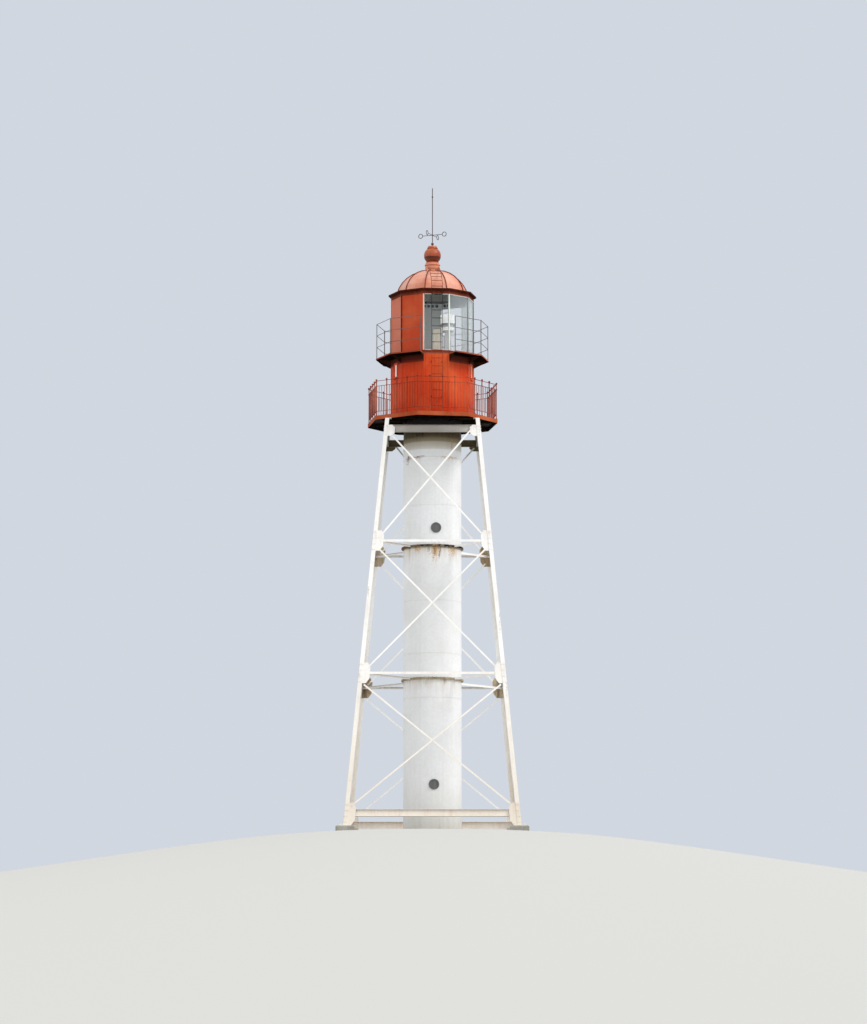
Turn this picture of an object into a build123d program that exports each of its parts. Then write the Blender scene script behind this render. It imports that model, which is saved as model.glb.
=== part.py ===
from build123d import *
import os
from math import cos, degrees, hypot, radians, sin, sqrt, tan

# Coastal lighthouse: a white plate tube on a round plinth, steadied by four battered angle legs,
# with an octagonal gallery, a ten-sided watch room and a ten-sided lantern under a ribbed dome.
# Millimetres, +Z up. The origin is the centre of the tube's foot at ground level and -Y is the front.
# Angles run from the front towards +X.

# Fits
SEAT = 0.3                # clearance between pieces that bear on each other
SEAM = 0.4                # clearance between neighbouring plates of one ring
LAP = 1                   # how far fused pieces reach into each other

# Round pieces are drawn with flat sides, few on the small ones, which keeps the model light
TUBE_SIDES = 48
WIDE_SIDES = 6            # how many of those a wide plate of the tube has, and a narrow one
NARROW_SIDES = 3
NECK_SIDES = 20
DRUM_SIDES = 16
PORTHOLE_SIDES = 16
VANE_SIDES = 10
KNOB_SIDES = 8
SMALL_SIDES = 6
BALL_STEPS = 6            # levels in the outline of the ball
DOME_STEPS = 6            # flats up each gore of the dome

# Tube
TUBE_R = 1075             # at the corners of its flats
TUBE_T = 15
FLANGE_W = 75
FLANGE_R = TUBE_R + FLANGE_W
FLANGE_T = 60
HEAD_FLANGE_W = 45
HEAD_FLANGE_R = TUBE_R + HEAD_FLANGE_W
PORTHOLE_R = 195
PORTHOLE_WALL = 26
PORTHOLE_DEPTH = 75
PORTHOLE_PROUD = 28
LOW_PORTHOLE = (3.0, 1950)      # angle and height
HIGH_PORTHOLE = (7.0, 11420)
PANE_T = 12

# Ground works
PLINTH_EDGE = 225
PLINTH_R = TUBE_R + PLINTH_EDGE
PLINTH_H = 250
PAD_W = 680
PAD_H = 280
PAD_CHAMFER = 40

# Battered frame
BASE_HALF = 3240          # half width over the legs at the ground
BATTER = 0.0975           # how far each leg leans in for each unit of height
LEG_W = 150
LEG_T = 15
FOOT_PLATE_W = 420
FOOT_PLATE_T = 25
CAP_W = 230
CAP_T = 15
BASE_LEVEL = 760
LEVEL_2 = 5870
LEVEL_1 = 10785
BEAM_H = 260
BEAM_FLANGE = 110
BEAM_WEB = 10
BEAM_FLANGE_T = 14
STRUT_W = 90
STRUT_T = 10
BRACE_W = 60
BRACE_T = 10
GUSSET_T = 12
GUSSET_W = 400            # reach of a node plate from the heel of its leg
GUSSET_H = 760
GUSSET_NECK = 290         # reach of a node plate at its top and bottom edges
GUSSET_HEEL = 45
GUSSET_CLIP = 0.22        # share of a node plate's height that is clipped at each inner corner
BASE_GUSSET_TOP = 1120
TOP_GUSSET_DEPTH = 420
BRACE_HOLD = 225          # distance of a brace end from the heel
BASE_BRACE_RISE = 240     # height of the lowest brace ends over their level
BRACE_RISE = 100          # height of the other lower ends over their levels
BRACE_DROPS = (430, 270)  # drop of the upper ends under the two strut levels
TOP_BRACE_DROP = 170      # drop of the inner brace's end under the top level
TOP_BRACE_RISE = 90       # rise of the outer brace's end over it
TOP_BEAM_DROP = 390       # middle of the top beams under the gallery girders
PACKER_R = 45
TIE_W = 75
TIE_T = 8
TIE_TOP = 20              # top of a radial tie over its level

# Doors
DOOR_W = 640
DOOR_H = 1850
DOOR_T = 40
DOOR_FRAME_W = 60
DOOR_FRAME_T = 70
DOOR_RIB = 14
DOOR_RIBS = (0.12, 0.5, 0.88)   # heights of the ribs as shares of the leaf
HANDLE_R = 11
HANDLE_REACH = 55
HANDLE_L = 130
HANDLE_SIDE = 0.40        # place of the handle across the leaf, and up it
HANDLE_UP = 0.56
GALLERY_DOOR_W = 600
GALLERY_DOOR_H = 1720

# Lower gallery, an octagon
DECK_TOP = 15560
DECK_R = 2480
DECK_TURN = -13           # angle of its first corner
DECK_SIDES = 8
DECK_T = 10
HATCH_R = 430
FASCIA_H = 150
FASCIA_T = 8
JOIST_T = 9
GIRDER_W = 90
RAIL_INSET = 45
RAIL_R = DECK_R - RAIL_INSET
RAIL_BAYS = 4
BARS_PER_BAY = 4
RAIL_LOW = 160
RAIL_MID = 1110
RAIL_TOP = 1300
RAIL_W = 40
RAIL_T = 12
POST_W = 28
BAR_W = 14
FINIAL_R = 28

# Head, a decagon
HEAD_SIDES = 10
HEAD_TURN = -12.2         # angle of its first corner
HEAD_R = 1555
WATCH_H = 2290
WALL_T = 12
WINDOW_W = 270
WINDOW_H = 530
WINDOW_UP = 1810          # centre of a window over the deck
WINDOW_SIDES = (2, 8)
WINDOW_BAR = 40
WINDOW_DEPTH = 50
WATCH_DOOR_SIDE = 5

# Upper gallery, open over the front side
UPPER_DECK_REACH = 565    # out from the corners of the watch room
UPPER_DECK_R = HEAD_R + UPPER_DECK_REACH
UPPER_DECK_T = 50
BRACKET_H = 260
BRACKET_REACH = 430
BRACKET_TIP = 39          # height of a bracket's outer end
BRACKET_T = 12
UPPER_RAIL_INSET = 35
UPPER_RAIL_R = UPPER_DECK_R - UPPER_RAIL_INSET
UPPER_RAILS = (430, 870, 1300)
UPPER_RAIL_BAR_R = 11
UPPER_POST_W = 24

# Lantern
SILL_H = 100
SILL_W = 70
GLASS_H = 2120
HEAD_H = 210
HEAD_T = 10
MULLION_W = 46
MULLION_D = 62
PANEL_T = 12
GLASS_T = 14
GLAZED_SIDES = (0, 1, 2, 3, 4)
BLIND_SIDES = (5, 6, 7, 8, 9)
VENT_R = 37
VENTS = 5
VENT_PITCH = 157
VENT_DROP = 95
FLOOR_HATCH_W = 650
FLOOR_HATCH_X = -600      # middle of the floor hatch, clear of the light apparatus
FLOOR_HATCH_Y = 250

# Roof
EAVE_OVERHANG = 95        # at the corners
EAVE_RISE = 0.18          # rise of the skirt for each unit of run
EAVE_LIP = 55
SHEET_T = 10
DOME_INSET = 235          # in from the corners of the watch room
DOME_BASE_R = HEAD_R - DOME_INSET
DOME_RISE = 875
DOME_MID_INSET = 268
DOME_MID_R = DOME_BASE_R - DOME_MID_INSET
DOME_MID_H = 498
RIB_W = 22
RIB_H = 30
NECK_R = 275
NECK_WALL = 12
NECK_SINK = 60
NECK_H = 340
NECK_BORE_R = 90          # vent hole in the lid of the neck
COLLAR_W = 20
COLLAR_R = NECK_R + COLLAR_W
COLLAR_H = 70
COLLAR_UP = 245
NECK_LID_INSET = 22
NECK_LID_R = NECK_R - NECK_LID_INSET
BALL_FOOT_R = 175
BALL_R = 318
BALL_H = 540
CAP_R = 200
CAP_TOP_R = 160
CAP_H = 90
ROD_L = 2230
ROD_R = 15
ROD_KNOB_R = 55
ROD_KNOB_UP = 90
KNOB_STEPS = 2            # levels in each half of a knob
TIP_KNOB_R = 34
TIP_KNOB_DROP = 340
CROSS_UP = 430
CROSS_TURN = 66
ARM_L = 400
ARM_R = 11
VANE_R = 95
VANE_WALL = 22
VANE_T = 14

# Ladder up the front side
LADDER_W = 400
LADDER_OFF = 235          # stand-off of the ladder from the wall
STRINGER_W = 50
STRINGER_T = 12
RUNG_R = 11
RUNG_STEP = 300
LADDER_OVER = 160         # how far the upright ladder passes the eave
ROOF_LADDER_OUT = 137     # stand-off of the bent ladder from the dome, outwards and upwards
ROOF_LADDER_UP = 110
ROOF_LADDER_TOP = 88
ROOF_LADDER_STEPS = 6     # flats in its bend
STAY_UP = 690             # height of the lowest stays over the deck
STAY_W = 40
STAY_T = 10

# Light apparatus
LAMP_X = 580
STAND_W = 240
STAND_H = 1090
STAND_FOOT_W = 420
STAND_FOOT_T = 20
DRUM_R = 285
DRUM_H = 690
DRUM_BASE_H = 90
DRUM_CAP_H = 60
DRUM_BULGE = 30
DRUM_FOOT_R = 200
DRUM_CAP_R = 128
CABINET_X = 150
CABINET_W = 290
CABINET_D = 260
CABINET_H = 1150

# Derived levels and widths
SLOPE = hypot(1, BATTER)
LEG_START = PAD_H + FOOT_PLATE_T + SEAT
GIRDER_BOTTOM = DECK_TOP - FASCIA_H
JOIST_H = FASCIA_H - DECK_T - SEAT
LEG_TOP = GIRDER_BOTTOM - CAP_T - 2 * SEAT
TOP_LEVEL = GIRDER_BOTTOM - TOP_BEAM_DROP
PORTAL_SIDES = TUBE_SIDES // WIDE_SIDES      # the portal fills one wide plate's share of the tube
GIRDER_HALF = BASE_HALF - BATTER * LEG_TOP - LEG_W      # centre line of the square of girders
TUBE_TOP = DECK_TOP - DECK_T - SEAT
WATCH_TOP = DECK_TOP + WATCH_H
UPPER_DECK_TOP = WATCH_TOP + UPPER_DECK_T
GLASS_BOTTOM = UPPER_DECK_TOP + SILL_H
HEAD_BOTTOM = GLASS_BOTTOM + GLASS_H
WALL_TOP = HEAD_BOTTOM + HEAD_H
HEAD_HALF_STEP = 180 / HEAD_SIDES
DECK_HALF_STEP = 180 / DECK_SIDES
HEAD_FLAT = cos(radians(HEAD_HALF_STEP))
DECK_FLAT = cos(radians(DECK_HALF_STEP))
PORTAL_FLAT = cos(radians(180 / PORTAL_SIDES))
HEAD_APOTHEM = HEAD_R * HEAD_FLAT
EAVE_APOTHEM = (HEAD_R + EAVE_OVERHANG) * HEAD_FLAT
DOME_APOTHEM = DOME_BASE_R * HEAD_FLAT
SHEET_RISE = SHEET_T * hypot(1, EAVE_RISE)
EAVE_Z = WALL_TOP + SEAT + SHEET_RISE - (EAVE_APOTHEM - HEAD_APOTHEM) * EAVE_RISE
DOME_BASE_Z = EAVE_Z + (EAVE_APOTHEM - DOME_APOTHEM) * EAVE_RISE
DOME_TOP_Z = DOME_BASE_Z + DOME_RISE
NECK_TOP = DOME_TOP_Z + NECK_H
CAP_Z = NECK_TOP + BALL_H
ROD_Z = CAP_Z + CAP_H

# Depth of each layer of a lattice side, counted inwards from the outer face of the legs
WING_IN = LEG_T / SLOPE
GUSSET_OUT = WING_IN + SEAT
GUSSET_IN = GUSSET_OUT + GUSSET_T
INNER_OUT = GUSSET_IN + SEAT
FRONT_FACE = Plane(origin=(0, -BASE_HALF, 0), x_dir=(1, 0, 0), z_dir=(0, -1, BATTER))
SIDE_ANGLES = {"front": 0, "right": 90, "rear": 180, "left": 270}
LEG_ANGLES = {"front_right": 0, "rear_right": 90, "rear_left": 180, "front_left": 270}


def group(shapes):
    """One node out of solids that stay apart."""
    return Compound([solid for shape in shapes for solid in shape.solids()])


def turned(shape, angle):
    """The shape swung round the tower's axis."""
    return Rot(0, 0, angle) * shape


def ring(shape, sides, turn, chosen=None):
    """Copies of a front piece on the sides of a polygon whose first corner is at an angle."""
    step = 360 / sides
    return [turned(shape, turn + step * (side + 0.5)) for side in (chosen or range(sides))]


def corners(shape, sides, turn):
    """Copies of a front piece on the corners of a polygon."""
    return [turned(shape, turn + 360 / sides * corner) for corner in range(sides)]


def outline(points):
    """Face on the drawing plane from its corner points."""
    return make_face(Polyline(*points, close=True))


def upright(points, bottom, height):
    """Prism standing on a plan outline."""
    return Pos(0, 0, bottom) * extrude(outline(points), amount=height, dir=(0, 0, 1))


def across(points, width):
    """Prism on a section in the front radial plane, given as radius and height."""
    face = Plane.YZ * outline([(-radius, height) for radius, height in points])
    return Pos(-width / 2, 0, 0) * extrude(face, amount=width, dir=(1, 0, 0))


def side_plan(sides, inner, outer, gap=SEAM):
    """Plan of one side of a polygonal ring between two apothems, with a gap to its neighbours."""
    half = radians(180 / sides)
    inner_x = inner * tan(half) - gap / 2 / cos(half)
    outer_x = outer * tan(half) - gap / 2 / cos(half)
    return [(-inner_x, -inner), (-outer_x, -outer), (outer_x, -outer), (inner_x, -inner)]


def polygon(sides, radius, turn):
    """Corner points of a level polygon about the axis."""
    return [at(radius, turn + 360 / sides * corner) for corner in range(sides)]


def side_slab(sides, inner, outer, bottom, height, gap=SEAM):
    """Upright flat plate on one side of a polygonal ring."""
    return upright(side_plan(sides, inner, outer, gap), bottom, height)


def at(radius, angle):
    """Place on the plan at a radius and an angle from the front."""
    return (radius * sin(radians(angle)), -radius * cos(radians(angle)))


def rolled_plate(inner, outer, bottom, height, flats=WIDE_SIDES):
    """Upright bent plate with a number of the tube's flats, centred on the front."""
    half = 180 * flats / TUBE_SIDES

    def arc(radius):
        gap = degrees(SEAM / 2 / radius)
        inside = [half * (2 * flat / flats - 1) for flat in range(1, flats)]
        return [at(radius, angle) for angle in (gap - half, *inside, half - gap)]

    return upright(arc(outer) + arc(inner)[::-1], bottom, height)


def rolled_ring(inner, outer, bottom, height, rear=True):
    """Plates round the tube: wide ones on its four sides, the front first, and narrow ones between."""
    wide = rolled_plate(inner, outer, bottom, height)
    narrow = rolled_plate(inner, outer, bottom, height, NARROW_SIDES)
    angles = SIDE_ANGLES.values()
    plates = [turned(wide, angle) for angle in angles if rear or angle != SIDE_ANGLES["rear"]]
    aside = 180 * (WIDE_SIDES + NARROW_SIDES) / TUBE_SIDES
    return plates + [turned(narrow, angle + side * aside) for angle in angles for side in (-1, 1)]


def column(sides, radius, bottom, height, turn=0):
    """Upright prism on a regular polygon about the axis."""
    return upright(polygon(sides, radius, turn), bottom, height)


def tube_column(radius, bottom, height):
    """Upright prism whose flats match those of the tube."""
    return column(TUBE_SIDES, radius, bottom, height)


def stacked(profile, sides, turn=0):
    """Turned form with few flat sides, from corner radii and heights from the bottom up."""
    levels = [[(x, y, height) for x, y in polygon(sides, radius, turn)] for radius, height in profile]
    rims = [levels[0][::-1], levels[-1]]
    for low, high in zip(levels, levels[1:]):
        rims += [(low[one - 1], low[one], high[one], high[one - 1]) for one in range(sides)]
    return Solid(Shell([Face(Wire.make_polygon(rim)) for rim in rims]))


def few_sided(plane, radius, sides, length):
    """Straight bar or plug with few sides, from a plane along its normal."""
    return extrude(plane * RegularPolygon(radius, sides), amount=length)


def half_width(height):
    """Half width over the legs at a height."""
    return BASE_HALF - BATTER * height


# Battered frame

def leg(angle):
    """Angle leg of the front right corner, swung to its own corner."""
    heel = half_width(LEG_START)
    section = [(0, 0), (-LEG_W, 0), (-LEG_W, LEG_T), (-LEG_T, LEG_T), (-LEG_T, LEG_W), (0, LEG_W)]
    face = outline([(heel + x, y - heel) for x, y in section])
    rise = LEG_TOP - LEG_START
    post = Solid.extrude(face.faces()[0], Vector(-BATTER * rise, BATTER * rise, rise))
    return turned(Pos(0, 0, LEG_START) * post, angle)


def square_plate(width, thickness, centre, bottom):
    """Level square plate on the front right diagonal."""
    return Pos(centre, -centre, bottom + thickness / 2) * Box(width, width, thickness)


def footings():
    """Concrete pads under the four legs."""
    pad = square_plate(PAD_W, PAD_H, half_width(PAD_H) - LEG_W / 2, 0)
    pad = chamfer(pad.faces().sort_by(Axis.Z)[-1].edges(), PAD_CHAMFER)
    return group(turned(pad, angle) for angle in LEG_ANGLES.values())


def leg_plates():
    """Foot plates on the pads and cap plates under the gallery girders."""
    foot = square_plate(FOOT_PLATE_W, FOOT_PLATE_T, half_width(PAD_H) - LEG_W / 2, PAD_H)
    cap = square_plate(CAP_W, CAP_T, half_width(LEG_TOP) - CAP_W / 2 + SEAM, LEG_TOP + SEAT)
    return group(turned(plate, angle) for plate in (foot, cap) for angle in LEG_ANGLES.values())


def i_section(height, flange, web=BEAM_WEB, thickness=BEAM_FLANGE_T):
    """Rolled beam section about its centre, upright along the second axis."""
    h, f, w = height / 2, flange / 2, web / 2
    return [(-f, -h), (f, -h), (f, thickness - h), (w, thickness - h), (w, h - thickness),
            (f, h - thickness), (f, h), (-f, h), (-f, h - thickness), (-w, h - thickness),
            (-w, thickness - h), (-f, thickness - h)]


def on_side(face_part, angle):
    """A piece drawn on the battered front face, carried to one side of the frame."""
    return turned(FRONT_FACE * face_part, angle)


def face_member(section, depth, level, reach):
    """Level member along a side: its section is (inward depth, height up the face)."""
    points = [(-depth - x, level * SLOPE + y) for x, y in section]
    profile = Plane.YZ * outline([(y, x) for x, y in points])
    return Pos(-reach, 0, 0) * extrude(profile, amount=2 * reach, dir=(1, 0, 0))


def frame_beams(level):
    """Four rolled beams round the frame at a level, lapped on the node plates."""
    reach = half_width(level) - INNER_OUT - BEAM_FLANGE - LEG_T
    section = i_section(BEAM_H, BEAM_FLANGE)
    beam = face_member(section, INNER_OUT + BEAM_FLANGE / 2, level, reach)
    return group(on_side(beam, angle) for angle in SIDE_ANGLES.values())


def face_strut(level):
    """Angle strut: an upright wing on the node plates and a level wing at its top."""
    half = STRUT_W / 2
    section = [(0, -half), (STRUT_T, -half), (STRUT_T, half - STRUT_T), (STRUT_W, half - STRUT_T),
               (STRUT_W, half), (0, half)]
    reach = half_width(level) - INNER_OUT - max(STRUT_W, TIE_W * sqrt(2)) - LEG_T
    return face_member(section, INNER_OUT, level, reach)


def layer(points, near, thickness):
    """Flat plate on the front face: its outer side at a depth, its thickness going inwards."""
    return Pos(0, 0, -near - thickness) * extrude(outline(points), amount=thickness, dir=(0, 0, 1))


def heel_at(height, inset):
    """Place on the face at a height, an inset away from the right leg's heel."""
    return (half_width(height) - inset, height * SLOPE)


def gusset(bottom, top):
    """Node plate on the right leg with clipped inner corners."""
    clip = (top - bottom) * GUSSET_CLIP
    points = [heel_at(bottom, GUSSET_HEEL), heel_at(top, GUSSET_HEEL), heel_at(top, GUSSET_NECK),
              heel_at(top - clip, GUSSET_W), heel_at(bottom + clip, GUSSET_W),
              heel_at(bottom, GUSSET_NECK)]
    return layer(points, GUSSET_OUT, GUSSET_T)


def mirrored(shape):
    """The shape on the other leg of the same side."""
    return mirror(shape, about=Plane.YZ)


def bar(start, end, width, near, thickness):
    """Flat bar between two places on the face."""
    along = Vector(end[0] - start[0], end[1] - start[1]).normalized()
    off = Vector(-along.Y, along.X) * (width / 2)
    points = [(start[0] + off.X, start[1] + off.Y), (end[0] + off.X, end[1] + off.Y),
              (end[0] - off.X, end[1] - off.Y), (start[0] - off.X, start[1] - off.Y)]
    return layer(points, near, thickness)


def brace_bays():
    """Heights of the lower ends, the outer brace's and the inner brace's upper end, bay by bay."""
    under_2, under_1 = LEVEL_2 - BRACE_DROPS[0], LEVEL_1 - BRACE_DROPS[1]
    return [(BASE_LEVEL + BASE_BRACE_RISE, under_2, under_2),
            (LEVEL_2 + BRACE_RISE, under_1, under_1),
            (LEVEL_1 + BRACE_RISE, TOP_LEVEL + TOP_BRACE_RISE, TOP_LEVEL - TOP_BRACE_DROP)]


def crossed_braces(bottom, outer_top, inner_top):
    """Two flat braces in different layers with a round packer where they cross."""
    low = heel_at(bottom, BRACE_HOLD)
    outer_high = heel_at(outer_top, BRACE_HOLD)
    inner_high = heel_at(inner_top, BRACE_HOLD)
    outer = bar((-low[0], low[1]), outer_high, BRACE_W, WING_IN - BRACE_T, BRACE_T)
    inner = bar(low, (-inner_high[0], inner_high[1]), BRACE_W, INNER_OUT, BRACE_T)
    outer_slope = (outer_high[1] - low[1]) / (outer_high[0] + low[0])
    inner_slope = (inner_high[1] - low[1]) / (inner_high[0] + low[0])
    aside = low[0] * (inner_slope - outer_slope) / (inner_slope + outer_slope)
    crossing = Plane(origin=(aside, low[1] + outer_slope * (low[0] + aside), -GUSSET_IN))
    return [outer, inner, few_sided(crossing, PACKER_R, KNOB_SIDES, GUSSET_T)]


def lattice_side(angle):
    """One side of the frame: node plates, angle struts and three bays of crossed braces."""
    spans = [(LEG_START + SEAT + GUSSET_IN * BATTER, BASE_GUSSET_TOP),
             (LEVEL_2 - GUSSET_H / 2, LEVEL_2 + GUSSET_H / 2),
             (LEVEL_1 - GUSSET_H / 2, LEVEL_1 + GUSSET_H / 2),
             (TOP_LEVEL + BEAM_H / 2 - TOP_GUSSET_DEPTH, TOP_LEVEL + BEAM_H / 2)]
    plates = [gusset(bottom, top) for bottom, top in spans]
    pieces = plates + [mirrored(plate) for plate in plates]
    pieces += [face_strut(level) for level in (LEVEL_2, LEVEL_1)]
    for ends in brace_bays():
        pieces += crossed_braces(*ends)
    return group(on_side(piece, angle) for piece in pieces)


def inside_node_plates(bottom, top):
    """The space inside the node plates between two heights."""
    depth = INNER_OUT * SLOPE
    low, high = 2 * (half_width(bottom) - depth), 2 * (half_width(top) - depth)
    return loft([Pos(0, 0, bottom) * Rectangle(low, low), Pos(0, 0, top) * Rectangle(high, high)])


def radial_ties():
    """Angle ties from the tube's flanges out to the four legs at both levels."""
    ties = []
    for level in (LEVEL_2, LEVEL_1):
        top = level + TIE_TOP
        section = [(0, top), (0, top - TIE_W), (TIE_T, top - TIE_W), (TIE_T, top - TIE_T),
                   (TIE_W, top - TIE_T), (TIE_W, top)]
        face = Plane.XZ * outline(section)
        tie = extrude(face, amount=2 * half_width(level), dir=(0, -1, 0))
        room = inside_node_plates(level - LEG_W, level + LEG_W)
        tube = tube_column(FLANGE_R + SEAT, level - LEG_W, 2 * LEG_W)
        for angle in (45, 135, 225, 315):
            ties.append((turned(tie, angle) & room) - tube)
    return group(ties)


# Tube

def porthole_cut(place, radius, depth=4 * PORTHOLE_DEPTH):
    """Round bar through the tube's wall at an angle and height."""
    angle, height = place
    start = Plane(origin=(0, -(TUBE_R + PORTHOLE_PROUD), height), z_dir=(0, 1, 0))
    return turned(few_sided(start, radius, PORTHOLE_SIDES, depth), angle)


def shell(bottom, top, portholes=(), rear=True):
    """One course of the tube, with round windows cut through its front plate."""
    front, *others = rolled_ring(TUBE_R - TUBE_T, TUBE_R, bottom, top - bottom, rear)
    for place in portholes:
        front -= porthole_cut(place, PORTHOLE_R)
    return [front, *others]


def shell_lower():
    """Lowest course, its rear plate stopping over the door."""
    plates = shell(PLINTH_H + SEAT, LEVEL_2 - SEAT, [LOW_PORTHOLE], rear=False)
    over = PLINTH_H + DOOR_H + DOOR_FRAME_W + 3 * SEAT
    lintel = rolled_plate(TUBE_R - TUBE_T, TUBE_R, over, LEVEL_2 - SEAT - over)
    return group(plates + [turned(lintel, 180)])


def shell_flanges():
    """Bolting rings at the foot, at both frame levels and under the gallery."""
    inner = TUBE_R + SEAT
    rise = TIE_TOP - TIE_W / 2 - FLANGE_T / 2
    rings = rolled_ring(inner, FLANGE_R, PLINTH_H + SEAT, FLANGE_T, rear=False)
    for level in (LEVEL_2, LEVEL_1):
        rings += rolled_ring(inner, FLANGE_R, level + rise, FLANGE_T)
    return group(rings + rolled_ring(inner, HEAD_FLANGE_R, TUBE_TOP - FLANGE_T, FLANGE_T))


def window_frame():
    """Rectangular frame in the watch room's wall, on the front side."""
    face = Rectangle(WINDOW_W - 2 * SEAT, WINDOW_H - 2 * SEAT)
    face -= Rectangle(WINDOW_W - 2 * WINDOW_BAR, WINDOW_H - 2 * WINDOW_BAR)
    depth = HEAD_APOTHEM + (WINDOW_DEPTH - WALL_T) / 2
    start = Plane(origin=(0, -depth, DECK_TOP + WINDOW_UP), x_dir=(1, 0, 0), z_dir=(0, 1, 0))
    return extrude(start * face, amount=WINDOW_DEPTH)


def window_frames():
    """Porthole barrels and the watch room's window frames."""
    frames = ring(window_frame(), HEAD_SIDES, HEAD_TURN, WINDOW_SIDES)
    for place in (LOW_PORTHOLE, HIGH_PORTHOLE):
        barrel = porthole_cut(place, PORTHOLE_R - SEAT, PORTHOLE_DEPTH)
        frames.append(barrel - porthole_cut(place, PORTHOLE_R - PORTHOLE_WALL))
    return group(frames)


def window_panes():
    """Glass in the portholes and in the watch room's windows."""
    opening = (WINDOW_W - 2 * WINDOW_BAR - 2 * SEAT, WINDOW_H - 2 * WINDOW_BAR - 2 * SEAT)
    middle = HEAD_APOTHEM - WALL_T / 2
    pane = Pos(0, -middle, DECK_TOP + WINDOW_UP) * Box(opening[0], PANE_T, opening[1])
    panes = ring(pane, HEAD_SIDES, HEAD_TURN, WINDOW_SIDES)
    for angle, height in (LOW_PORTHOLE, HIGH_PORTHOLE):
        radius = PORTHOLE_R - PORTHOLE_WALL - SEAT
        start = Plane(origin=(0, -TUBE_R, height), z_dir=(0, 1, 0))
        panes.append(turned(few_sided(start, radius, PORTHOLE_SIDES, PANE_T), angle))
    return group(panes)


def doorway(width, height, bottom, depth):
    """Block that cuts a doorway through the front side out to a depth."""
    return Pos(0, -depth / 2, bottom + height / 2) * Box(width, depth, height)


def door_frames():
    """Steel portals of the entrance at the foot and of the gallery door."""
    face = (TUBE_R - TUBE_T) * PORTAL_FLAT
    inner = face - DOOR_FRAME_T
    bottom = PLINTH_H + SEAT
    height = DOOR_H + DOOR_FRAME_W
    portal = side_slab(PORTAL_SIDES, inner, face, bottom, height, SEAM + 2 * SEAT)
    hood = side_slab(PORTAL_SIDES, face - SEAT, TUBE_R, bottom + DOOR_H, DOOR_FRAME_W, SEAM + 2 * SEAT)
    portal += hood & tube_column(TUBE_R, bottom + DOOR_H, DOOR_FRAME_W)
    portal -= doorway(DOOR_W, DOOR_H - SEAT, bottom + SEAT, face + LAP)
    frame_w = GALLERY_DOOR_W + 2 * DOOR_FRAME_W
    frame_h = GALLERY_DOOR_H + DOOR_FRAME_W
    upper = Pos(0, -HEAD_APOTHEM + WALL_T / 2, DECK_TOP + SEAT + frame_h / 2)
    upper = upper * Box(frame_w - 2 * SEAT, DOOR_FRAME_T, frame_h - 2 * SEAT)
    upper -= doorway(GALLERY_DOOR_W, GALLERY_DOOR_H, DECK_TOP, HEAD_APOTHEM + DOOR_FRAME_T)
    return group([turned(portal, 180)] + ring(upper, HEAD_SIDES, HEAD_TURN, [WATCH_DOOR_SIDE]))


def door_leaf(width, height, outer, bottom):
    """Ribbed steel door on the front side with a lever handle."""
    middle = outer - DOOR_T / 2
    leaf = Pos(0, -middle, bottom + height / 2) * Box(width, DOOR_T, height)
    rib_w = width - 4 * DOOR_RIB
    for share in DOOR_RIBS:
        rib = Box(rib_w, DOOR_RIB, 3 * DOOR_RIB)
        leaf += Pos(0, -outer - DOOR_RIB / 2 + LAP, bottom + height * share) * rib
    lock = Vector(width * HANDLE_SIDE, -outer - HANDLE_REACH, bottom + height * HANDLE_UP)
    leaf += few_sided(Plane(origin=lock, z_dir=(0, 1, 0)), HANDLE_R, SMALL_SIDES, HANDLE_REACH + LAP)
    lever = Box(HANDLE_L + 2 * HANDLE_R, 2 * HANDLE_R, 2 * HANDLE_R)
    return leaf + Pos(lock - Vector(HANDLE_L / 2, 0, 0)) * lever


def doors():
    """The two closed doors in their portals."""
    face = (TUBE_R - TUBE_T) * PORTAL_FLAT
    low = door_leaf(DOOR_W - 2 * SEAT, DOOR_H - 4 * SEAT, face - DOOR_RIB, PLINTH_H + 3 * SEAT)
    high = door_leaf(GALLERY_DOOR_W - 2 * SEAT, GALLERY_DOOR_H - 4 * SEAT, HEAD_APOTHEM,
                     DECK_TOP + 2 * SEAT)
    return group([turned(low, 180)] + ring(high, HEAD_SIDES, HEAD_TURN, [WATCH_DOOR_SIDE]))


# Lower gallery

def gallery_girders():
    """Square of beams on the leg caps: two long ones and two fitted between them."""
    section = i_section(JOIST_H, GIRDER_W, JOIST_T, JOIST_T)
    height = GIRDER_BOTTOM + JOIST_H / 2
    long_reach = GIRDER_HALF + GIRDER_W / 2
    short_reach = GIRDER_HALF - GIRDER_W / 2 - SEAT
    profile = Plane.YZ * outline(section)
    beams = []
    for reach, angles in ((long_reach, (0, 180)), (short_reach, (90, 270))):
        beam = Pos(-reach, -GIRDER_HALF, height) * extrude(profile, amount=2 * reach, dir=(1, 0, 0))
        beams += [turned(beam, angle) for angle in angles]
    return beams


def gallery_joists():
    """Girders on the legs and flat joists from the tube to each corner of the deck."""
    girders = gallery_girders()
    corner = FASCIA_T + SEAT + JOIST_T / 2 * sin(radians(DECK_HALF_STEP))
    reach = DECK_R - corner / DECK_FLAT
    start = HEAD_FLANGE_R + SEAT
    blank = Pos(0, -(start + reach) / 2, GIRDER_BOTTOM + JOIST_H / 2)
    blank = blank * Box(JOIST_T, reach - start, JOIST_H)
    room = [girder_room(angle) for angle in (0, 90, 180, 270)]
    joists = []
    for joist in corners(blank, DECK_SIDES, DECK_TURN):
        for block in room:
            joist = joist - block
        joists.append(joist)
    return group(girders + joists)


def girder_room(angle):
    """Room that a joist leaves for a girder."""
    block = Box(2 * GIRDER_HALF + GIRDER_W + 2 * SEAT, GIRDER_W + 2 * SEAT, 2 * JOIST_H)
    return turned(Pos(0, -GIRDER_HALF, GIRDER_BOTTOM + JOIST_H / 2) * block, angle)


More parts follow.
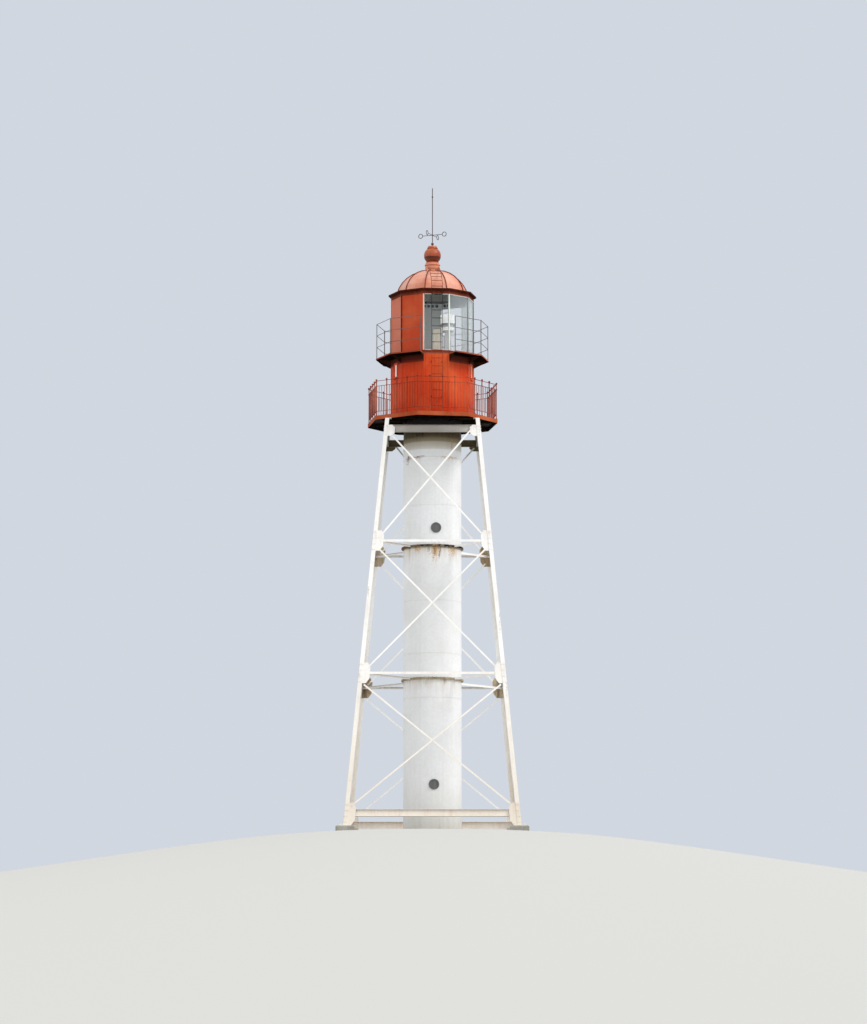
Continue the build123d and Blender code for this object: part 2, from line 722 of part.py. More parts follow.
def gallery_deck():
    """Eight deck plates round the floor hatch of the watch room."""
    outer = DECK_R * DECK_FLAT - FASCIA_T - SEAT
    plate = side_slab(DECK_SIDES, HATCH_R, outer, DECK_TOP - DECK_T, DECK_T)
    return group(ring(plate, DECK_SIDES, DECK_TURN))


def gallery_fascia():
    """Upright boards round the edge of the deck."""
    outer = DECK_R * DECK_FLAT
    board = side_slab(DECK_SIDES, outer - FASCIA_T, outer, DECK_TOP - FASCIA_H, FASCIA_H)
    return group(ring(board, DECK_SIDES, DECK_TURN))


def railing_panel():
    """One side of the lower railing: posts with ball finials, three rails and thin bars."""
    apothem = RAIL_R * DECK_FLAT
    half = apothem * tan(radians(DECK_HALF_STEP))
    clear = POST_W / 2 / DECK_FLAT + SEAT

    def stick(x, width, bottom, top):
        height = top - bottom
        return Pos(x, -apothem, DECK_TOP + bottom + height / 2) * Box(width, width, height)

    length = 2 * half - 2 * clear
    panel = Part()
    for height in (RAIL_LOW, RAIL_MID, RAIL_TOP):
        panel += Pos(0, -apothem, DECK_TOP + height) * Box(length, RAIL_W, RAIL_T)
    bays = RAIL_BAYS * BARS_PER_BAY
    for index in range(1, bays):
        x = -half + 2 * half * index / bays
        if index % BARS_PER_BAY:
            panel += stick(x, BAR_W, RAIL_LOW, RAIL_MID)
        else:
            panel += stick(x, POST_W, SEAT, RAIL_TOP)
            panel += finial(x, apothem)
    return panel


def finial(x, distance):
    """Ball on top of a railing post."""
    bottom = DECK_TOP + RAIL_TOP + RAIL_T / 2 - LAP
    profile = [(FINIAL_R / 2, bottom), (FINIAL_R, bottom + FINIAL_R), (FINIAL_R / 2, bottom + 2 * FINIAL_R)]
    return Pos(x, -distance, 0) * stacked(profile, SMALL_SIDES)


def corner_post():
    """Railing post on a corner of the deck, with its ball."""
    height = RAIL_TOP + RAIL_T / 2 - SEAT
    post = Pos(0, -RAIL_R, DECK_TOP + SEAT + height / 2) * Box(POST_W, POST_W, height)
    return post + finial(0, RAIL_R)


def gallery_railing():
    """Eight railing panels and the eight corner posts between them."""
    panels = ring(railing_panel(), DECK_SIDES, DECK_TURN)
    return group(panels + corners(corner_post(), DECK_SIDES, DECK_TURN))


# Watch room

def watch_panel():
    """Plain wall panel of the watch room on the front side."""
    return side_slab(HEAD_SIDES, HEAD_APOTHEM - WALL_T, HEAD_APOTHEM, DECK_TOP + SEAT, WATCH_H - SEAT)


def watch_walls():
    """Wall panels without an opening."""
    opened = (*WINDOW_SIDES, WATCH_DOOR_SIDE)
    plain = [side for side in range(HEAD_SIDES) if side not in opened]
    return group(ring(watch_panel(), HEAD_SIDES, HEAD_TURN, plain))


def watch_opened_walls():
    """Two wall panels with a window and the rear one with the gallery door."""
    cut = Pos(0, -HEAD_APOTHEM, DECK_TOP + WINDOW_UP) * Box(WINDOW_W, 4 * WALL_T, WINDOW_H)
    windowed = ring(watch_panel() - cut, HEAD_SIDES, HEAD_TURN, WINDOW_SIDES)
    frame_w = GALLERY_DOOR_W + 2 * DOOR_FRAME_W
    frame_h = GALLERY_DOOR_H + DOOR_FRAME_W + SEAT
    entry = watch_panel() - doorway(frame_w, frame_h, DECK_TOP, HEAD_APOTHEM + WALL_T)
    return group(windowed + ring(entry, HEAD_SIDES, HEAD_TURN, [WATCH_DOOR_SIDE]))


# Upper gallery

def upper_sides():
    """Sides of the upper gallery that have a deck: all but the front one."""
    return range(1, HEAD_SIDES)


def upper_deck():
    """Deck plates round the foot of the lantern, open over the ladder."""
    outer = UPPER_DECK_R * HEAD_FLAT
    plate = side_slab(HEAD_SIDES, HEAD_APOTHEM + SEAT, outer, WATCH_TOP, UPPER_DECK_T)
    return group(ring(plate, HEAD_SIDES, HEAD_TURN, upper_sides()))


def deck_brackets():
    """Triangular plates on the corners of the watch room, under the upper deck."""
    root = HEAD_R + SEAT
    top = WATCH_TOP - SEAT
    section = [(root, top - BRACKET_H), (root, top), (root + BRACKET_REACH, top),
               (root + BRACKET_REACH, top - BRACKET_TIP)]
    return group(corners(across(section, BRACKET_T), HEAD_SIDES, HEAD_TURN))


def thin_bar(start, end, radius):
    """Straight thin bar between two points."""
    axis = Vector(end) - Vector(start)
    return few_sided(Plane(origin=start, z_dir=axis), radius, SMALL_SIDES, axis.length)


def upper_rail_panel():
    """One side of the upper railing: three round rails between its corner posts."""
    apothem = UPPER_RAIL_R * HEAD_FLAT
    clear = UPPER_POST_W / 2 / HEAD_FLAT + SEAT
    half = apothem * tan(radians(HEAD_HALF_STEP)) - clear
    levels = [UPPER_DECK_TOP + height for height in UPPER_RAILS]
    return [thin_bar((-half, -apothem, z), (half, -apothem, z), UPPER_RAIL_BAR_R) for z in levels]


def upper_railing():
    """Rails on nine sides and posts on all ten corners, open at the front."""
    height = UPPER_RAILS[-1] + UPPER_RAIL_BAR_R
    post = Pos(0, -UPPER_RAIL_R, UPPER_DECK_TOP + SEAT + height / 2)
    post = post * Box(UPPER_POST_W, UPPER_POST_W, height)
    rails = []
    for rail in upper_rail_panel():
        rails += ring(rail, HEAD_SIDES, HEAD_TURN, upper_sides())
    return group(rails + corners(post, HEAD_SIDES, HEAD_TURN))


# Lantern

def lantern_floor():
    """Four floor plates round a square hatch, level with the upper gallery."""
    bottom, height = WATCH_TOP + SEAT, UPPER_DECK_T - SEAT
    floor = upright(polygon(HEAD_SIDES, HEAD_R, HEAD_TURN), bottom, height)
    half = FLOOR_HATCH_W / 2
    plates = []
    for side in (-1, 1):
        beyond_x = FLOOR_HATCH_X + side * (half + HEAD_R + SEAM)
        beyond_y = FLOOR_HATCH_Y + side * (half + HEAD_R)
        middle = bottom + height / 2
        strip = Pos(beyond_x, 0, middle) * Box(2 * HEAD_R, 4 * HEAD_R, height)
        filler = Pos(FLOOR_HATCH_X, beyond_y, middle) * Box(FLOOR_HATCH_W, 2 * HEAD_R, height)
        plates += [floor & strip, floor & filler]
    return group(plates)


def lantern_sill():
    """Kerb under the glass and the blind panels."""
    kerb = side_slab(HEAD_SIDES, HEAD_APOTHEM - SILL_W, HEAD_APOTHEM, UPPER_DECK_TOP + SEAT, SILL_H - SEAT)
    return group(ring(kerb, HEAD_SIDES, HEAD_TURN))


def lantern_mullions():
    """Upright bars on the ten corners, from the sill to the head."""
    height = GLASS_H - 2 * SEAT
    middle = HEAD_R - MULLION_D / 2
    post = Pos(0, -middle, GLASS_BOTTOM + GLASS_H / 2) * Box(MULLION_W, MULLION_D, height)
    return group(corners(post, HEAD_SIDES, HEAD_TURN))


def lantern_sheet(thickness):
    """Sheet that fills one side between two mullions."""
    outer = HEAD_APOTHEM - MULLION_D / 4
    gap = MULLION_W + 2 * SEAT
    bottom = GLASS_BOTTOM + SEAT
    return side_slab(HEAD_SIDES, outer - thickness, outer, bottom, GLASS_H - 2 * SEAT, gap)


def lantern_glazing():
    """Five panes towards the sea."""
    return group(ring(lantern_sheet(GLASS_T), HEAD_SIDES, HEAD_TURN, GLAZED_SIDES))


def lantern_panels():
    """Five blind steel panels towards the land."""
    return group(ring(lantern_sheet(PANEL_T), HEAD_SIDES, HEAD_TURN, BLIND_SIDES))


def lantern_head():
    """Band over the glass with a row of round vents in every side."""
    band = side_slab(HEAD_SIDES, HEAD_APOTHEM - HEAD_T, HEAD_APOTHEM, HEAD_BOTTOM, HEAD_H)
    for index in range(VENTS):
        x = (index - (VENTS - 1) / 2) * VENT_PITCH
        start = Plane(origin=(x, -HEAD_APOTHEM - HEAD_T, WALL_TOP - VENT_DROP), z_dir=(0, 1, 0))
        band -= few_sided(start, VENT_R, SMALL_SIDES, 3 * HEAD_T)
    return group(ring(band, HEAD_SIDES, HEAD_TURN))


# Roof

def roof_wedge(gap=SEAM):
    """Upright wedge that limits one side of the roof."""
    plan = side_plan(HEAD_SIDES, NECK_R / 2, 2 * HEAD_R, gap)
    return upright(plan, WATCH_TOP, DOME_TOP_Z - WATCH_TOP + HEAD_R)


def roof_eave():
    """Sloping skirt with a drip edge, from the eave in to the foot of the dome."""
    drop = SHEET_RISE
    top_in = (DOME_APOTHEM + SEAT, DOME_BASE_Z)
    section = [(EAVE_APOTHEM, EAVE_Z - EAVE_LIP), (EAVE_APOTHEM, EAVE_Z), top_in,
               (top_in[0], top_in[1] - drop), (EAVE_APOTHEM - SHEET_T, EAVE_Z - drop + SHEET_T * EAVE_RISE),
               (EAVE_APOTHEM - SHEET_T, EAVE_Z - EAVE_LIP)]
    skirt = across(section, 2 * HEAD_R) & roof_wedge()
    return group(ring(skirt, HEAD_SIDES, HEAD_TURN))


def dome_curve(grow):
    """Places up the dome in the middle of a side as radius and height, moved out by an amount."""
    slant = grow / sqrt(2)
    arc = ThreePointArc((DOME_APOTHEM + grow, DOME_BASE_Z),
                        (DOME_MID_R * HEAD_FLAT + slant, DOME_BASE_Z + DOME_MID_H + slant),
                        (NECK_R, DOME_TOP_Z + grow))
    places = [arc @ (step / DOME_STEPS) for step in range(DOME_STEPS + 1)]
    return [(place.X, place.Y) for place in places]


def dome_block(grow, gap):
    """Solid under one gore of the dome."""
    curve = dome_curve(grow)
    base = DOME_BASE_Z - SHEET_RISE
    section = [(curve[0][0], base), *curve, (NECK_R / 2, curve[-1][1]), (NECK_R / 2, base)]
    return across(section, 2 * HEAD_R) & roof_wedge(gap)


def neck_room(bottom):
    """Room for the ventilator's neck, from a height up."""
    return column(NECK_SIDES, NECK_R + SEAT, bottom, HEAD_R, HEAD_TURN)


def dome():
    """Ten curved gores that meet at the ribs, open for the ventilator neck."""
    gore = dome_block(0, SEAM) - dome_block(-SHEET_T, 0)
    neck = turned(neck_room(DOME_BASE_Z), -HEAD_TURN - HEAD_HALF_STEP)
    return group(ring(gore - neck, HEAD_SIDES, HEAD_TURN))


def dome_ribs():
    """Raised bars over the joints between the gores."""
    hip = [(radius / HEAD_FLAT, height) for radius, height in dome_curve(0)]
    ridge = [(radius / HEAD_FLAT, height) for radius, height in dome_curve(RIB_H)]
    foot = DOME_BASE_Z + SEAT
    section = [(hip[0][0] / 2, foot), (ridge[0][0], foot), *ridge[1:], (hip[-1][0] / 2, ridge[-1][1])]
    rib = across(section, RIB_W)
    for side in (-HEAD_HALF_STEP, HEAD_HALF_STEP):
        rib -= turned(dome_block(SEAT, 0), side)
    rib -= turned(neck_room(DOME_BASE_Z), -HEAD_TURN)
    rib = rib.solids().sort_by(SortBy.VOLUME)[-1]
    return group(corners(rib, HEAD_SIDES, HEAD_TURN))


def ventilator_neck():
    """Tube over the dome with a rolled collar and a lid, on which the ball stands."""
    bottom = DOME_TOP_Z - NECK_SINK
    collar = DOME_TOP_Z + COLLAR_UP
    top = NECK_TOP - SEAT
    profile = [(NECK_R, bottom), (NECK_R, collar - COLLAR_H / 2), (COLLAR_R, collar - COLLAR_H / 4),
               (COLLAR_R, collar + COLLAR_H / 4), (NECK_LID_R, collar + COLLAR_H / 2),
               (NECK_LID_R, top)]
    neck = stacked(profile, NECK_SIDES, HEAD_TURN)
    neck -= column(NECK_SIDES, NECK_R - NECK_WALL, bottom, collar - bottom, HEAD_TURN)
    neck -= column(NECK_SIDES, NECK_LID_R - NECK_WALL, bottom, top - NECK_WALL - bottom, HEAD_TURN)
    return neck - column(KNOB_SIDES, NECK_BORE_R, bottom, top, HEAD_TURN)


def ball_profile():
    """Corner radii and heights up the ball, which is cut flat at foot and top."""
    arc = ThreePointArc((BALL_FOOT_R, NECK_TOP), (BALL_R, NECK_TOP + BALL_H / 2), (BALL_FOOT_R, CAP_Z))
    places = [arc @ (step / BALL_STEPS) for step in range(BALL_STEPS + 1)]
    return [(place.X, place.Y) for place in places]


def ventilator_ball():
    """Ball that overhangs the neck's lid, under a flat cap."""
    profile = [*ball_profile(), (CAP_R, CAP_Z), (CAP_TOP_R, CAP_Z + CAP_H)]
    return stacked(profile, NECK_SIDES, HEAD_TURN)


def knob(radius, middle):
    """Profile of a round knob on the rod."""
    angles = [radians(90 * step / KNOB_STEPS) for step in range(-KNOB_STEPS, KNOB_STEPS + 1)]
    return [(max(ROD_R, radius * cos(angle)), middle + radius * sin(angle)) for angle in angles]


def lightning_rod():
    """Rod with two knobs and a level cross of four arms that end in plain rings."""
    profile = [(ROD_R, ROD_Z + SEAT), *knob(ROD_KNOB_R, ROD_Z + ROD_KNOB_UP),
               *knob(TIP_KNOB_R, ROD_Z + ROD_L - TIP_KNOB_DROP), (ROD_R, ROD_Z + ROD_L)]
    rod = stacked(profile, KNOB_SIDES)
    height = ROD_Z + CROSS_UP
    for quarter in range(4):
        arm = thin_bar((0, 0, height), (0, -ARM_L, height), ARM_R)
        plate = Plane(origin=(-VANE_T / 2, -ARM_L - VANE_R + VANE_WALL / 2, height), z_dir=(1, 0, 0))
        arm += few_sided(plate, VANE_R, VANE_SIDES, VANE_T)
        arm -= few_sided(plate, VANE_R - VANE_WALL, VANE_SIDES, VANE_T)
        rod += turned(arm, CROSS_TURN + 90 * quarter)
    return rod


# Ladder

def gallery_ladder():
    """Upright ladder from the lower gallery up past the eave, held off by stays."""
    depth = HEAD_APOTHEM + LADDER_OFF
    top = EAVE_Z + LADDER_OVER
    height = top - DECK_TOP - SEAT
    ladder = Part()
    for side in (-1, 1):
        x = side * LADDER_W / 2
        ladder += Pos(x, -depth, DECK_TOP + SEAT + height / 2) * Box(STRINGER_T, STRINGER_W, height)
        for level in (DECK_TOP + STAY_UP, WATCH_TOP - RUNG_STEP, HEAD_BOTTOM + STAY_W):
            reach = LADDER_OFF - STRINGER_W / 2 - SEAT + LAP
            ladder += Pos(x, -HEAD_APOTHEM - SEAT - reach / 2, level) * Box(STAY_T, reach, STAY_W)
    for index in range(1, int(height / RUNG_STEP) + 1):
        z = DECK_TOP + index * RUNG_STEP
        ladder += thin_bar((-LADDER_W / 2, -depth, z), (LADDER_W / 2, -depth, z), RUNG_R)
    return turned(ladder, HEAD_TURN + HEAD_HALF_STEP)


def roof_ladder_curve():
    """Centre line of the curved ladder in the front radial plane, from the eave to the neck."""
    start = (-(HEAD_APOTHEM + LADDER_OFF), EAVE_Z + LADDER_OVER + SEAT)
    middle = (-(DOME_MID_R * HEAD_FLAT + ROOF_LADDER_OUT), DOME_BASE_Z + DOME_MID_H + ROOF_LADDER_UP)
    end = (-(COLLAR_R + STRINGER_W / 2), DOME_TOP_Z + ROOF_LADDER_TOP)
    return ThreePointArc(start, middle, end)


def roof_ladder():
    """Ladder bent over the dome, standing on short feet."""
    curve = roof_ladder_curve()
    start, heading = curve @ 0, curve % 0
    lead = Line(start - heading * STRINGER_W, start)
    bend = Polyline(*[curve @ (step / ROOF_LADDER_STEPS) for step in range(ROOF_LADDER_STEPS + 1)])
    strip = Plane.YZ * trace([lead, bend], STRINGER_W)
    ladder = Part()
    for side in (-1, 1):
        x = side * LADDER_W / 2
        ladder += Pos(x - STRINGER_T / 2, 0, 0) * extrude(strip, amount=STRINGER_T, dir=(1, 0, 0))
    steps = int(curve.length / RUNG_STEP)
    for index in range(steps + 1):
        point = curve @ ((index + 1 / 2) / (steps + 1))
        ladder += thin_bar((-LADDER_W / 2, point.X, point.Y), (LADDER_W / 2, point.X, point.Y), RUNG_R)
    ladder -= Pos(0, 0, start.Y - HEAD_R / 2) * Box(4 * HEAD_R, 4 * HEAD_R, HEAD_R)
    return turned(ladder, HEAD_TURN + HEAD_HALF_STEP)


# Light apparatus

def lamp_stand():
    """Post with a foot plate and a table, off the axis towards the glazed side."""
    floor = UPPER_DECK_TOP + SEAT
    plate = Box(STAND_FOOT_W, STAND_FOOT_W, STAND_FOOT_T)
    stand = Pos(LAMP_X, 0, floor + STAND_H / 2) * Box(STAND_W, STAND_W, STAND_H)
    for height in (STAND_FOOT_T / 2, STAND_H - STAND_FOOT_T / 2):
        stand += Pos(LAMP_X, 0, floor + height) * plate
    return stand


def lamp_drum():
    """Drum lamp: a waisted base, a belt of lens and a shallow cap."""
    bottom = UPPER_DECK_TOP + STAND_H + 2 * SEAT
    lens = bottom + DRUM_BASE_H
    top = bottom + DRUM_H
    brim = top - DRUM_CAP_H
    waist = DRUM_R - DRUM_BULGE
    profile = [(DRUM_FOOT_R, bottom), (DRUM_FOOT_R, bottom + DRUM_BASE_H / 3),
               (waist, bottom + DRUM_BASE_H * 2 / 3), (waist, lens), (DRUM_R, (lens + brim) / 2),
               (waist, brim), (DRUM_CAP_R, top)]
    return Pos(LAMP_X, 0, 0) * stacked(profile, DRUM_SIDES)


def control_cabinet():
    """Plain cabinet beside the lamp."""
    height = CABINET_H
    body = Pos(CABINET_X, 0, UPPER_DECK_TOP + SEAT + height / 2) * Box(CABINET_W, CABINET_D, height)
    return chamfer(body.edges().filter_by(Axis.Z), DOOR_RIB)


NODES = {
    "base_plinth": lambda: tube_column(PLINTH_R, 0, PLINTH_H),
    "footings": footings,
    "leg_plates": leg_plates,
    "base_beams": lambda: frame_beams(BASE_LEVEL),
    "top_beams": lambda: frame_beams(TOP_LEVEL),
    "radial_ties": radial_ties,
    "shell_lower": shell_lower,
    "shell_middle": lambda: group(shell(LEVEL_2, LEVEL_1 - SEAT)),
    "shell_upper": lambda: group(shell(LEVEL_1, TUBE_TOP, [HIGH_PORTHOLE])),
    "shell_flanges": shell_flanges,
    "window_frames": window_frames,
    "window_panes": window_panes,
    "door_frames": door_frames,
    "doors": doors,
    "gallery_joists": gallery_joists,
    "gallery_deck": gallery_deck,
    "gallery_fascia": gallery_fascia,
    "gallery_railing": gallery_railing,
    "watch_walls": watch_walls,
    "watch_opened_walls": watch_opened_walls,
    "upper_deck": upper_deck,
    "deck_brackets": deck_brackets,
    "upper_railing": upper_railing,
    "lantern_floor": lantern_floor,
    "lantern_sill": lantern_sill,
    "lantern_mullions": lantern_mullions,
    "lantern_glazing": lantern_glazing,
    "lantern_panels": lantern_panels,
    "lantern_head": lantern_head,
    "roof_eave": roof_eave,
    "dome": dome,
    "dome_ribs": dome_ribs,
    "ventilator_neck": ventilator_neck,
    "ventilator_ball": ventilator_ball,
    "lightning_rod": lightning_rod,
    "gallery_ladder": gallery_ladder,
    "roof_ladder": roof_ladder,
    "lamp_stand": lamp_stand,
    "lamp_drum": lamp_drum,
    "control_cabinet": control_cabinet,
}


def build():
    """Write every node to its own file."""
    os.makedirs("parts", exist_ok=True)
    for name, make in NODES.items():
        export_step(make(), f"parts/{name}.step")
    for name, angle in LEG_ANGLES.items():
        export_step(leg(angle), f"parts/leg_{name}.step")
    for name, angle in SIDE_ANGLES.items():
        export_step(lattice_side(angle), f"parts/lattice_{name}.step")


build()
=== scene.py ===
"""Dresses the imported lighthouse: finishes, small fittings, floor, light and camera, in the part's frame."""

import logging
import math
from dataclasses import dataclass, replace
from enum import Enum
from typing import Callable, Sequence

import bmesh
import bpy
from mathutils import Matrix, Vector


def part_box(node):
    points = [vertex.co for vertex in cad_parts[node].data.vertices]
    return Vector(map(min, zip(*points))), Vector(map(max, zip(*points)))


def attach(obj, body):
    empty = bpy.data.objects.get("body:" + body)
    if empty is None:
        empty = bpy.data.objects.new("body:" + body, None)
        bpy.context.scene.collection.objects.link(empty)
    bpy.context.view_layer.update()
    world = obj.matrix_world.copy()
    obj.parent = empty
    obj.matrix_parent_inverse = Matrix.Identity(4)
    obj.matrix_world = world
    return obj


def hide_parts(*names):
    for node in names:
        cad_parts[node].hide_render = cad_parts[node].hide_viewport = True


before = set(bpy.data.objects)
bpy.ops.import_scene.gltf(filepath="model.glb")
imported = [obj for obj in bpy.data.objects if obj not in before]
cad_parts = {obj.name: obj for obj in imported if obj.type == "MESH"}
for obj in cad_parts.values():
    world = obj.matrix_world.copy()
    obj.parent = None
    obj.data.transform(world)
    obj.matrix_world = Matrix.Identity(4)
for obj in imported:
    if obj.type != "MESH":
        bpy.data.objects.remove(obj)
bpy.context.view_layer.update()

log = logging.getLogger("lighthouse")

Colour = tuple[float, float, float, float]
Point = tuple[float, float, float]
Socket = bpy.types.NodeSocket

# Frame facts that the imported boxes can't tell, in metres and degrees
HEAD_SIDES = 10
HEAD_TURN = -12.2
HEAD_STEP = 360 / HEAD_SIDES
DECK_SIDES = 8
DECK_TURN = -13.0
LEG_HALF = 3.240
LEG_BATTER = 0.0975

# Half of the angle that one side of the head takes up, in radians
HEAD_HALF = math.radians(HEAD_STEP / 2)

# Distances in metres under which points are merged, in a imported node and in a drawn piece
NODE_WELD = 1e-5
DRAFT_WELD = 1e-6


class Slot(Enum):
    """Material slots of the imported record."""

    WHITE = "white_paint"
    RED = "red_paint"
    PALE = "pale_paint"
    DARK = "dark_steel"
    LAMP = "lamp_white"
    GLASS = "glass"
    CONCRETE = "concrete"


class Facing(Enum):
    """Ways a bolt head can point on a ring."""

    UP = 1.0
    DOWN = -1.0


def screen_colour(red: int, green: int, blue: int) -> Colour:
    """Turns a screen colour into the scene's linear one.

    Args:
        red: Red, from 0 to 255.
        green: Green, from 0 to 255.
        blue: Blue, from 0 to 255.

    Returns:
        The linear colour with full opacity.
    """

    def linear(level: int) -> float:
        """Undoes the screen's curve for one channel."""
        share = level / 255
        return share / 12.92 if share <= 0.04045 else ((share + 0.055) / 1.055) ** 2.4

    return (linear(red), linear(green), linear(blue), 1.0)


@dataclass(frozen=True)
class Ledge:
    """A level from which water runs down and leaves a stain, or under which shade is painted.

    Attributes:
        height: Level of the ledge in metres.
        reach: How far the stain or painted shade runs down, or below zero how far it rises.
        strength: How much of its colour shows right at the ledge.
        colour: Its colour, or none for the paint's own stain colour.
        ragged: Share of it that breaks up into streaks.
        fall: How fast the stain thins out: near zero for a hard band.
    """

    height: float
    reach: float
    strength: float
    colour: Colour | None = None
    ragged: float = 0.75
    fall: float = 1.6


@dataclass(frozen=True)
class RustMark:
    """A single upright stain on the front.

    Attributes:
        across: Its place across the front in metres, to the right of the axis.
        height: Level that it starts from.
        width: Half of its width.
        length: How far it runs down.
        strength: How much of its colour shows.
        colour: Its colour.
    """

    across: float
    height: float
    width: float
    length: float
    strength: float
    colour: Colour


@dataclass(frozen=True)
class Paint:
    """Weathered paint over steel plate.

    Attributes:
        name: Name of the material.
        slot: Material slot of the record.
        colour: Sound paint.
        faded: Paint where sun and salt have bleached it.
        stain: Colour of the streaks and spots.
        ledges: Levels that streaks run down from, and levels under which shade is painted.
        marks: Single runs of rust on the front.
        fading: Share of bleached paint.
        spotting: Share of the stain colour in scattered spots.
        roughness: Mean roughness.
        relief: Depth of the surface's unevenness in metres.
        board: Width of the wall's boards in metres, or zero for plain plate.
        spared: Bearing in degrees of the one side that keeps clear of the ledges' stains and painted shade.
        lining: Colour of the side that faces the axis, if it differs: an inner paint, and on some paints
            painted shade.
        underside: Colour of the faces that look down, if it differs: on the decks, the eave and the frame,
            painted shade.
        gloss: Strength of its reflection: a half is usual for paint, zero is dead matt.
        painted_glow: Painted light that the surface gives off, standing in for daylight on it.
        joints: How dark the joints of the boards are.
    """

    name: str
    slot: Slot
    colour: Colour
    faded: Colour
    stain: Colour
    ledges: tuple[Ledge, ...] = ()
    marks: tuple[RustMark, ...] = ()
    fading: float = 0.4
    spotting: float = 0.15
    roughness: float = 0.55
    relief: float = 0.002
    board: float = 0.0
    spared: float | None = None
    lining: Colour | None = None
    underside: Colour | None = None
    gloss: float = 0.30
    painted_glow: float = 0.0
    joints: float = 0.55


@dataclass(frozen=True)
class Glass:
    """Flat glass under a film of salt.

    Attributes:
        name: Name of the material.
        colour: Colour of its body.
        film: Colour of the salt film.
        body: Share of light that it stops.
        film_body: Share of light that the film stops besides.
        mirror: How much of the reflection at its rim hides what lies behind.
        spacing: Distance between the streaks of salt in metres.
        length: Length of a streak in metres.
        clean: Roughness where it is clean.
        salted: Roughness under the full film.
        slot: Material slot of the record.
    """

    name: str
    colour: Colour
    film: Colour
    body: float
    film_body: float = 0.05
    mirror: float = 0.6
    spacing: float = 0.06
    length: float = 0.9
    clean: float = 0.04
    salted: float = 0.16
    slot: Slot = Slot.GLASS


@dataclass(frozen=True)
class Concrete:
    """Weathered cast concrete.

    Attributes:
        name: Name of the material.
        colour: Its dry face.
        damp: Its darker patches.
        pore: Colour in its pores.
        wash: Colour of the streaks that water leaves on it.
        patch: Size of the patches in metres.
        dampness: Share of the darker patches.
        pores: Scale of the pores: how many there are to a metre.
        pitting: How much of the pores' colour shows.
        spacing: Distance between the streaks in metres.
        length: Length of a streak in metres.
        washing: How much of the streaks' colour shows.
        worn: Roughness where it is worn.
        raw: Roughness where it isn't.
        relief: Depth of its unevenness in metres.
        bump: Strength of the unevenness.
        slot: Material slot of the record.
    """

    name: str
    colour: Colour
    damp: Colour
    pore: Colour
    wash: Colour
    patch: float = 0.7
    dampness: float = 0.5
    pores: float = 60.0
    pitting: float = 0.5
    spacing: float = 0.08
    length: float = 0.5
    washing: float = 0.4
    worn: float = 0.82
    raw: float = 0.95
    relief: float = 0.003
    bump: float = 0.8
    slot: Slot = Slot.CONCRETE


@dataclass(frozen=True)
class Weather:
    """Scale and strength of the weathering that every paint shares.

    Attributes:
        patch: Size of the bleached patches in metres.
        patch_level: Noise over which paint is bleached, where the share of it is full.
        patch_rise: What that level rises by where the share is none.
        patch_edge: Softness of a patch's edge, in noise.
        grain: How many times finer the grain is than the patches.
        grime: Share of grime in the darker part of the grain.
        streak_spacing: Distance between water streaks in metres.
        streak_length: Length of a streak in metres.
        spots: Scale of the spots: how many there are to a metre.
        mark_waves: Scale of the ragged outline of a rust mark.
        mark_raggedness: How far that outline strays, in widths of the mark.
        mark_drips: Scale of the drips in a mark, on each axis.
        joint_edge: Half width of a board joint's soft edge, in boards.
        joint_core: Half width of its dark core.
        joint_depth: How deep a board's joint lies, in units of the paint's relief.
        smoother: How far the roughness goes below its mean.
        rougher: How far it goes above its mean.
        stain_roughness: What a full stain adds to the roughness.
        bump: Strength of the relief.
    """

    patch: float = 1.4
    patch_level: float = 0.12
    patch_rise: float = 0.5
    patch_edge: float = 0.30
    grain: float = 14.0
    grime: float = 0.06
    streak_spacing: float = 0.10
    streak_length: float = 1.5
    spots: float = 5.5
    mark_waves: float = 14.0
    mark_raggedness: float = 2.0
    mark_drips: Point = (34.0, 34.0, 3.0)
    joint_edge: float = 0.055
    joint_core: float = 0.02
    joint_depth: float = 2.0
    smoother: float = 0.08
    rougher: float = 0.12
    stain_roughness: float = 0.2
    bump: float = 0.6


CLEAR_GLASS = Glass("clear_glass", screen_colour(222, 230, 234), screen_colour(228, 234, 236), 0.004)
# An opaque pale sheet on the watch windows: painted reflection of the sky
PAINTED_SKY_GLASS = Glass("painted_sky_glass", screen_colour(240, 236, 226), screen_colour(226, 222, 212), 0.96)
# An opaque dark sheet in the portholes: painted shade of the tube's inside
PAINTED_SHADE_GLASS = Glass("painted_shade_glass", screen_colour(92, 94, 92), screen_colour(116, 116, 112), 0.96)
CAST_CONCRETE = Concrete(
    name="cast_concrete",
    colour=screen_colour(168, 164, 154),
    damp=screen_colour(132, 130, 122),
    pore=screen_colour(84, 82, 76),
    wash=screen_colour(96, 92, 80),
)

RUST = screen_colour(158, 78, 34)
ORANGE_RUST = screen_colour(190, 138, 50)
BROWN_RUST = screen_colour(104, 70, 30)
DARK_RUST = screen_colour(70, 42, 26)
BLACK_RUST = screen_colour(36, 22, 16)
BEIGE = screen_colour(196, 186, 158)
DRY_OLIVE = screen_colour(150, 142, 112)
GRIME = screen_colour(120, 112, 92)
# Near black, used only as painted shade: under the decks, the eave and the ball, and in the vents
PAINTED_SHADE = screen_colour(20, 12, 9)

